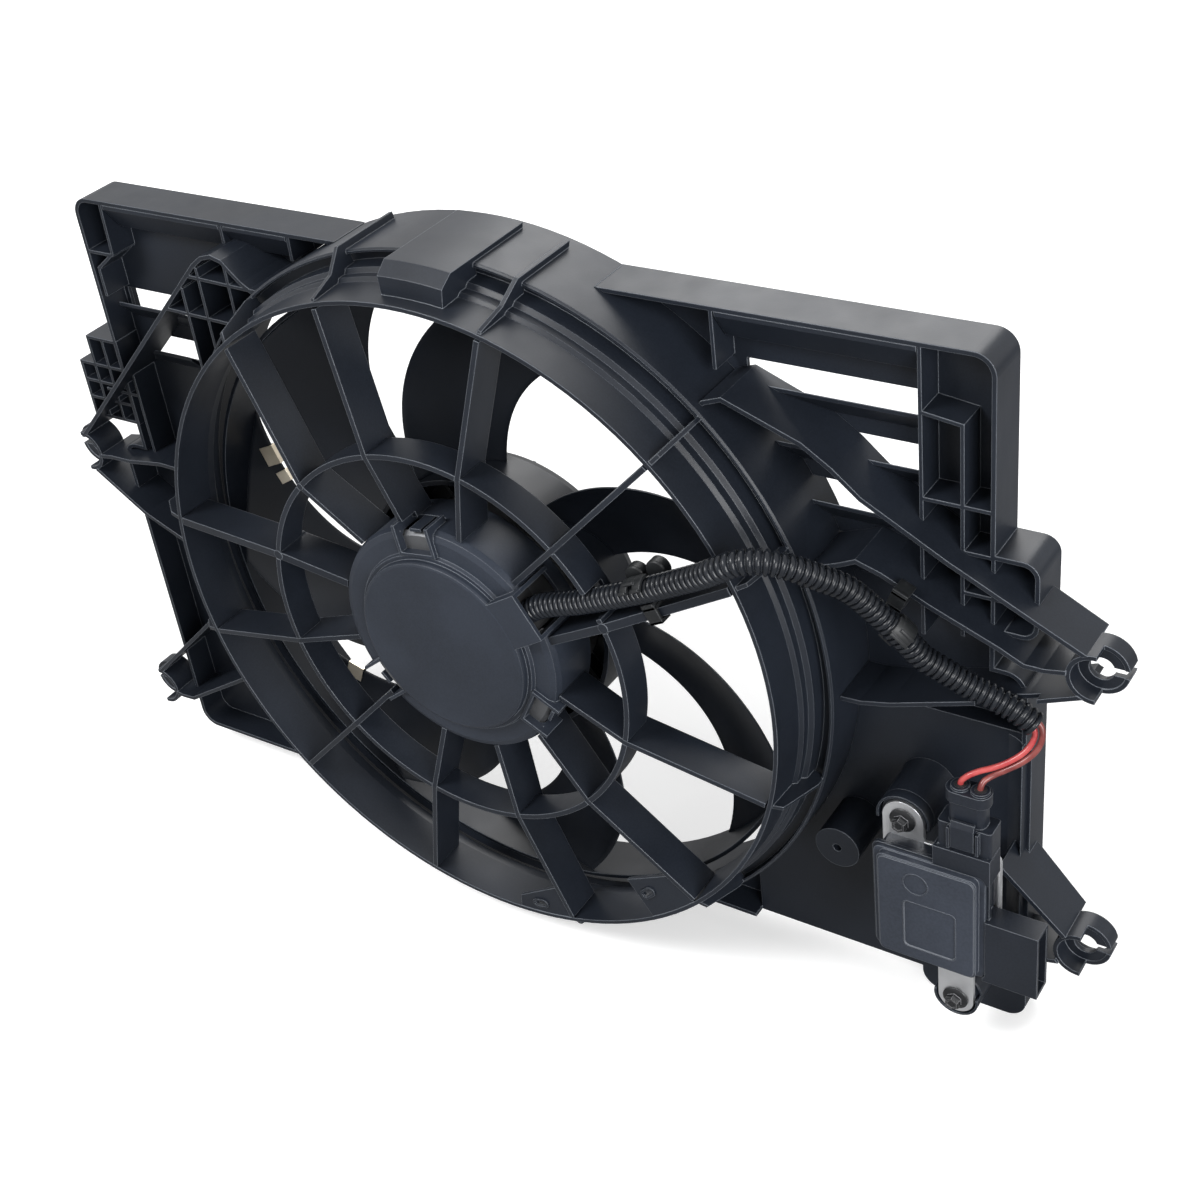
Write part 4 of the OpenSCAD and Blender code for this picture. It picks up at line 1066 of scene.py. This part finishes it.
# The harness
@dataclass
class Harness:
    """Corrugated conduit and the two leads that leave it, in millimetres."""

    conduit_d: float = 14.0
    pitch: float = 3.7
    groove: float = 1.9
    ridge: tuple[float, ...] = (1.0, 1.0, 0.35, 0.08, 0.0, 0.0, 0.08, 0.35)
    wire_d: float = 3.2
    wire_step: float = 1.2
    conduit_sides: int = 36
    wire_sides: int = 20
    route: tuple[Point, ...] = (
        (58.29, 35.02, 88.0), (70.29, 42.23, 88.0), (95, 52, 89), (116, 62, 90.5), (136, 72, 92),
        (157, 84, 95), (178, 96, 97), (190, 104, 98), (201, 110, 97), (213, 111, 93),
        (224, 107, 87), (236, 98, 78), (246, 89, 70), (257, 74, 63), (267, 60, 58), (276, 46, 53),
        (285, 38, 49), (298, 29, 45), (313, 22, 42), (323, 17, 41), (331, 11, 40),
    )
    red_route: tuple[Point, ...] = (
        (328.5, 10.2, 40.1), (330.4, 8.2, 39.9), (331.2, 4.5, 40.6), (329.9, -0.5, 43),
        (326.5, -5, 46.5), (321, -9, 50.3), (315, -12, 53.6), (309, -13.8, 57),
        (304.4, -16, 59.6), (300.9, -19.5, 61), (300, -22.5, 61), (300, -26, 61),
    )
    brown_route: tuple[Point, ...] = (
        (331.2, 13.6, 40.1), (333.8, 11, 39.6), (335.2, 6.5, 40.6), (334.6, 0.8, 42.3),
        (331.8, -4.5, 44.8), (326.8, -9.3, 48.2), (320.5, -13.2, 51.8), (315.2, -16, 55.3),
        (312, -18, 58.8), (311, -21, 61), (311, -26, 61),
    )

    def conduit(self) -> Piece:
        """Makes the conduit with its rings.

        Returns:
            The conduit.
        """
        path = spline([bench(*point) for point in self.route], self.pitch * MM / len(self.ridge))
        depths = [self.groove * self.ridge[i % len(self.ridge)] for i in range(len(path))]
        radii = [(self.conduit_d / 2 - depth) * MM for depth in depths]
        return smooth(swept("conduit_rings", path, radii, self.conduit_sides), 40)

    def wire(self, route: Sequence[Point]) -> Piece:
        """Makes one lead.

        Args:
            route: its points.

        Returns:
            The lead.
        """
        path = spline([bench(*point) for point in route], self.wire_step * MM)
        radii = [self.wire_d / 2 * MM] * len(path)
        return smooth(swept("lead", path, radii, self.wire_sides))

    def build(self, finishes: Finishes) -> None:
        """Builds the harness.

        Args:
            finishes: the part's finishes.
        """
        conduit, red, brown = self.conduit(), self.wire(self.red_route), self.wire(self.brown_route)
        for piece, name, material, node in (
            (conduit, "conduit_rings", finishes.conduit, "conduit"),
            (red, "lead_red", finishes.red, "wire_red"),
            (brown, "lead_brown", finishes.brown, "wire_brown"),
        ):
            finish_piece(piece, name, Body.SHROUD, material, node, node)


# Small pieces
@dataclass(frozen=True)
class Boss:
    """A bolt boss of the module: its axis, its radius and the side where its lip is open."""

    name: str
    x: float
    z: float
    radius: float
    open_to: float


@dataclass(frozen=True)
class Clip:
    """The place of an open clip that holds the conduit, and of its foot."""

    name: str
    node: str
    x: float
    z: float
    depth: float
    turn: float
    tilt: float
    foot: Pair
    foot_turn: float
    foot_depths: Pair
    fingers: tuple[Pair, ...]
    knobs: tuple[Point, ...] = ()


@dataclass
class Fixings:
    """The two flanged bolts of the module and the collars of their bosses."""

    bosses: tuple[Boss, ...] = (
        Boss("upper", 264.0, -66.0, 13.5, -90.0),
        Boss("lower", 294.0, -188.0, 11.0, 90.0),
    )
    bolt_back: float = 54.5
    shank_end: float = 34.0
    shank_r: float = 2.5
    # Height over the bracket and radius of each ring
    flange: tuple[Pair, ...] = (
        (0.0, 7.2), (0.25, 7.5), (0.9, 7.5), (1.2, 7.2), (2.1, 5.2), (2.3, 3.0)
    )
    head: tuple[Pair, ...] = (
        (1.9, 4.62), (5.6, 4.62), (6.5, 3.9), (6.5, 3.0), (6.0, 2.6), (5.9, 0.6)
    )
    # Depth of each ring, and how much wider than the boss it is
    sleeve: tuple[Pair, ...] = (
        (20.2, -0.3), (20.2, 3.0), (22.0, 2.4), (48.0, 2.2), (48.6, 1.6), (48.6, -0.3)
    )
    lip_depths: Pair = (48.0, 54.8)
    lip_offset: float = 1.5
    lip_wall: float = 1.4
    lip_turns: Pair = (80.0, 280.0)

    def bolt(self, boss: Boss) -> Piece:
        """Turns a flanged bolt with a six-sided head.

        Args:
            boss: the boss that it is screwed into.

        Returns:
            The bolt.
        """
        base, end, r = self.bolt_back, self.shank_end, self.shank_r
        shank = [(end, r - 0.3), (end + 0.6, r), (base, r)]
        flange = [(base + h, w) for h, w in self.flange]
        lower = turned(f"bolt_{boss.name}", boss.x, boss.z, shank + flange)
        upper = turned("head", boss.x, boss.z, [(base + h, w) for h, w in self.head], 6)
        return joined([lower, upper])

    def collar(self, boss: Boss) -> list[Piece]:
        """Makes a boss's outer sleeve and the lip that stands round the bracket's ear.

        Args:
            boss: the boss.

        Returns:
            The sleeve and the lip.
        """
        rings = [(depth, boss.radius + wider) for depth, wider in self.sleeve]
        sleeve = turned(f"boss_sleeve_{boss.name}", boss.x, boss.z, rings)
        start, end = (boss.open_to + turn for turn in self.lip_turns)
        line = band(arc(boss.radius + self.lip_offset, start, end, 41), self.lip_wall)
        lip = prism(f"boss_lip_{boss.name}", line, facing(boss.x, boss.z), self.lip_depths)
        return [sleeve, lip]

    def build(self, finishes: Finishes) -> None:
        """Builds the bolts and collars.

        Args:
            finishes: the part's finishes.
        """
        for index, boss in enumerate(self.bosses):
            nodes = ("module_screws",) if index == 0 else ()
            bolt = self.bolt(boss)
            finish_piece(bolt, bolt.name, Body.SHROUD, finishes.bolt, "module_screws", *nodes)
            for piece in self.collar(boss):
                finish_piece(piece, piece.name, Body.SHROUD, finishes.shroud, "module_bosses")


@dataclass
class Clips:
    """The two clips of the conduit."""

    places: tuple[Clip, ...] = (
        Clip(
            "conduit_clip_cup", "conduit_clip_inner", 139.12, 73.8, 93.9, turn=29.5, tilt=7.0,
            foot=(145.7, 61.1), foot_turn=27.4, foot_depths=(87.6, 95.6),
            fingers=((-9.5, -3.4), (1.4, 6.4)), knobs=((129.3, 74.6, 84.6), (143.8, 82.6, 86.0)),
        ),
        Clip(
            "conduit_clip_arm", "conduit_clip_outer", 266.0, 61.4, 58.5, turn=-54.5, tilt=-16.0,
            foot=(262.0, 74.6), foot_turn=-24.0, foot_depths=(40.0, 52.0), fingers=((-4.5, 7.5),),
        ),
    )
    radius: float = 8.1
    wall: float = 1.5
    ring_turns: Pair = (-75.0, -300.0)
    ring_toe: Pair = (5.6, 8.4)
    ring_ends: Pair = (-4.5, 4.5)
    finger_turns: Pair = (100.0, 28.0)
    finger_tip: Pair = (8.9, 5.2)
    # Height over the knob's front, and radius
    knob: tuple[Pair, ...] = ((-7.0, 5.6), (-6.4, 6.2), (-1.2, 6.2), (-0.3, 5.5), (0.0, 4.2))
    foot_half: float = 4.4
    foot_tines: tuple[Pair, ...] = ((-5.0, -3.2), (3.3, 5.1))
    foot_bridge: Pair = (-5.0, 6.5)
    bridge_thick: float = 2.0

    def ring(self, clip: Clip) -> list[Piece]:
        """Makes the open ring behind the conduit and its fingers.

        Args:
            clip: its place.

        Returns:
            The ring and the fingers.
        """
        turn, tilt = math.radians(clip.turn), math.radians(clip.tilt)
        level = math.cos(tilt)
        axis = Vector((math.cos(turn) * level, -math.sin(tilt), math.sin(turn) * level))
        ahead = Vector((0.0, -1.0, 0.0))
        ahead = (ahead - axis * ahead.dot(axis)).normalized()
        around = Drawing(bench(clip.x, clip.z, clip.depth), ahead, ahead.cross(axis))
        line = [*arc(self.radius, *self.ring_turns, 45), self.ring_toe]
        parts = [prism(clip.name, band(line, self.wall), around, self.ring_ends)]
        finger = [*arc(self.radius, *self.finger_turns, 15), self.finger_tip]
        for ends in clip.fingers:
            parts.append(prism("finger", band(finger, self.wall), around, ends))
        return parts

    def foot(self, clip: Clip) -> list[Piece]:
        """Makes the forked foot, which grips a rib.

        Args:
            clip: its place.

        Returns:
            The foot's pieces.
        """
        low, high = clip.foot_depths
        base = facing(*clip.foot, clip.foot_turn)
        bars = [(tine, low) for tine in self.foot_tines]
        parts = []
        for (a, b), bottom in [*bars, (self.foot_bridge, high - self.bridge_thick)]:
            half = self.foot_half
            outline = [(-half, a), (half, a), (half, b), (-half, b)]
            parts.append(prism("foot", outline, base, (bottom, high)))
        return parts

    def build(self, finishes: Finishes) -> None:
        """Builds the clips.

        Args:
            finishes: the part's finishes.
        """
        for clip in self.places:
            parts = self.ring(clip)
            for x, z, front in clip.knobs:
                parts.append(turned("knob", x, z, [(front + h, r) for h, r in self.knob]))
            piece = joined([*parts, *self.foot(clip)])
            finish_piece(piece, clip.name, Body.SHROUD, finishes.clip, clip.node, clip.node)


@dataclass
class Trim:
    """Rims, edges and marks on the shroud, the bracket and the module's cover."""

    # Turn of a corner plate, and its slot's place before the turn
    slots: tuple[Point, ...] = ((285.0, 198.8, -22.2), (315.0, 189.3, -28.4))
    slot_r: float = 2.7
    slot_half: float = 2.6
    slot_wall: float = 1.5
    slot_depths: Pair = (87.4, 88.7)
    pan_wall: float = 319.5
    pan_floor: float = 20.0
    fillet_size: Pair = (19.0, 8.6)
    fillet_ends: Pair = (17.0, 150.0)
    fillet_sunk: float = 1.0
    edge_line: tuple[Pair, ...] = (
        (311.0, -73.6), (315.2, -73.7), (317.2, -74.4), (318.2, -76.0), (318.5, -78.5),
        (318.5, -119.0),
    )
    edge_wall: float = 1.7
    edge_depths: Pair = (50.6, 55.6)
    label: tuple[float, float, float, float] = (272.0, 302.5, -138.5, -104.5)
    label_corner: float = 3.0
    label_wall: float = 0.8
    ring: Point = (279.5, -90.8, 7.2)
    ring_wall: float = 0.9
    mark_depths: Pair = (73.0, 73.95)

    def slot_rim(self, turn: float, x: float, z: float) -> Piece:
        """Makes the raised rim of a corner plate's slot.

        Args:
            turn: the plate's angle in degrees.
            x: the slot's place before the turn.
            z: its height before the turn.

        Returns:
            The rim.
        """
        r, half = self.slot_r, self.slot_half
        upper = [(a, b + half) for a, b in arc(r, 0, 180, 13)]
        lower = [(a, b - half) for a, b in arc(r, 180, 360, 13)]
        plate = facing(0.0, 0.0, turn)
        plane = Drawing(plate.at(x, z, 0.0), plate.u, plate.v)
        return hoop("slot_rim", upper + lower, self.slot_wall, plane, self.slot_depths)

    def fillet(self) -> Piece:
        """Makes the hollow rounding between the raised pan's floor and its right wall.

        Returns:
            The rounding.
        """
        wide, high = self.fillet_size
        wall, floor = self.pan_wall, self.pan_floor - self.fillet_sunk
        curve = [
            (wall - wide * (1 - math.cos(t)), floor + high * (1 - math.sin(t)))
            for t in np.linspace(0, math.pi / 2, 15)
        ]
        outline = [(wall + 0.4, floor - 0.3), (wall + 0.4, floor + high), *curve]
        plane = Drawing(Vector(), Vector((1, 0, 0)), Vector((0, -1, 0)))
        return prism("pan_fillet", outline, plane, self.fillet_ends, 0.1)

    def bracket_edge(self) -> Piece:
        """Makes the bracket's turned-up edge beside the module."""
        line = band(self.edge_line, self.edge_wall)
        return prism("bracket_edge", line, facing(0.0, 0.0), self.edge_depths, 0.25)

    def marks(self) -> list[Piece]:
        """Makes the plain ring and the label's border on the cover.

        Returns:
            The ring and the border.
        """
        left, right, low, high = self.label
        c = self.label_corner
        corners = (
            (right - c, high - c, 0), (left + c, high - c, 90),
            (left + c, low + c, 180), (right - c, low + c, 270),
        )
        border = [
            (x + dx, z + dz) for x, z, start in corners for dx, dz in arc(c, start, start + 90, 6)
        ]
        x, z, radius = self.ring
        circle = [(x + dx, z + dz) for dx, dz in arc(radius, 0, 352, 45)]
        cover = facing(0.0, 0.0)
        return [
            hoop("cover_ring", circle, self.ring_wall, cover, self.mark_depths),
            hoop("label_border", border, self.label_wall, cover, self.mark_depths),
        ]

    def build(self, finishes: Finishes) -> None:
        """Builds the trim.

        Args:
            finishes: the part's finishes.
        """
        for index, slot in enumerate(self.slots):
            rim = self.slot_rim(*slot)
            name = f"slot_rim_{index + 1}"
            finish_piece(rim, name, Body.SHROUD, finishes.shroud, "fan_barrel")
        fillet, edge = self.fillet(), self.bracket_edge()
        finish_piece(fillet, fillet.name, Body.SHROUD, finishes.shroud, "shroud_panel")
        finish_piece(edge, edge.name, Body.SHROUD, finishes.plate, "module_bracket")
        for piece in self.marks():
            finish_piece(piece, piece.name, Body.SHROUD, finishes.cover, "module_cover")


# CAD nodes
@dataclass
class Frame:
    """The CAD nodes that stay, with their finishes."""

    nodes: dict[str, Piece] = field(default_factory=dict)

    def table(self, f: Finishes) -> dict[str, Material]:
        """Each node's finish.

        Args:
            f: the part's finishes.

        Returns:
            The finish by node.
        """
        groups: dict[Material, tuple[str, ...]] = {
            f.shroud: (
                "shroud_panel", "louvre_slats", "module_bosses", "fan_barrel", "stator_spokes",
                "tie_ring", "lug_upper_left", "lug_lower_left", "lug_upper_right",
                "lug_lower_right",
            ),
            f.cup: ("motor_cup",),
            f.fan: ("fan_hub", "fan_blades", "fan_band"),
            f.can: ("motor_can", "motor_end_plate"),
            f.magnet: ("motor_magnets",),
            f.ground: ("fan_side_bearing", "end_bearing", "motor_shaft", "hub_insert"),
            f.card: ("brush_card",),
            f.carbon: ("brushes",),
            f.spring: ("brush_springs",),
            f.tin: ("balance_clips",),
            f.rubber: ("lead_grommet",),
            f.iron: ("armature_core",),
            f.winding: ("armature_windings",),
            f.copper: ("commutator",),
            f.plate: ("shaft_nut", "module_bracket"),
            f.conduit: ("conduit",),
            f.red: ("wire_red",),
            f.brown: ("wire_brown",),
            f.clip: ("conduit_clip_inner", "conduit_clip_outer"),
            f.gloss: ("module_housing", "lead_plug", "plug_latch"),
            f.cover: ("module_cover",),
            f.board: ("module_board",),
            f.bolt: ("module_screws",),
            f.brass: ("socket_pins",),
            f.seal: ("wire_seals",),
        }
        return {node: material for material, nodes in groups.items() for node in nodes}

    def dress(self, finishes: Finishes) -> None:
        """Gives every node its finish.

        Args:
            finishes: the part's finishes.
        """
        table = self.table(finishes)
        for name, node in self.nodes.items():
            node.data.materials.clear()
            node.data.materials.append(table[name])
            LOG.info("%s dressed", name)


def main() -> None:
    """Builds the dressed part and the studio."""
    logging.basicConfig(level=logging.INFO, format="%(message)s")
    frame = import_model()
    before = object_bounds()
    Studio().build(before[0].z)
    finishes = Finishes()
    Frame(frame["nodes"]).dress(finishes)
    for assembly in (FanWheel(), Harness(), Fixings(), Trim(), Clips()):
        assembly.build(finishes)
        LOG.info("%s built", type(assembly).__name__)


if __name__ == "__main__":
    main()
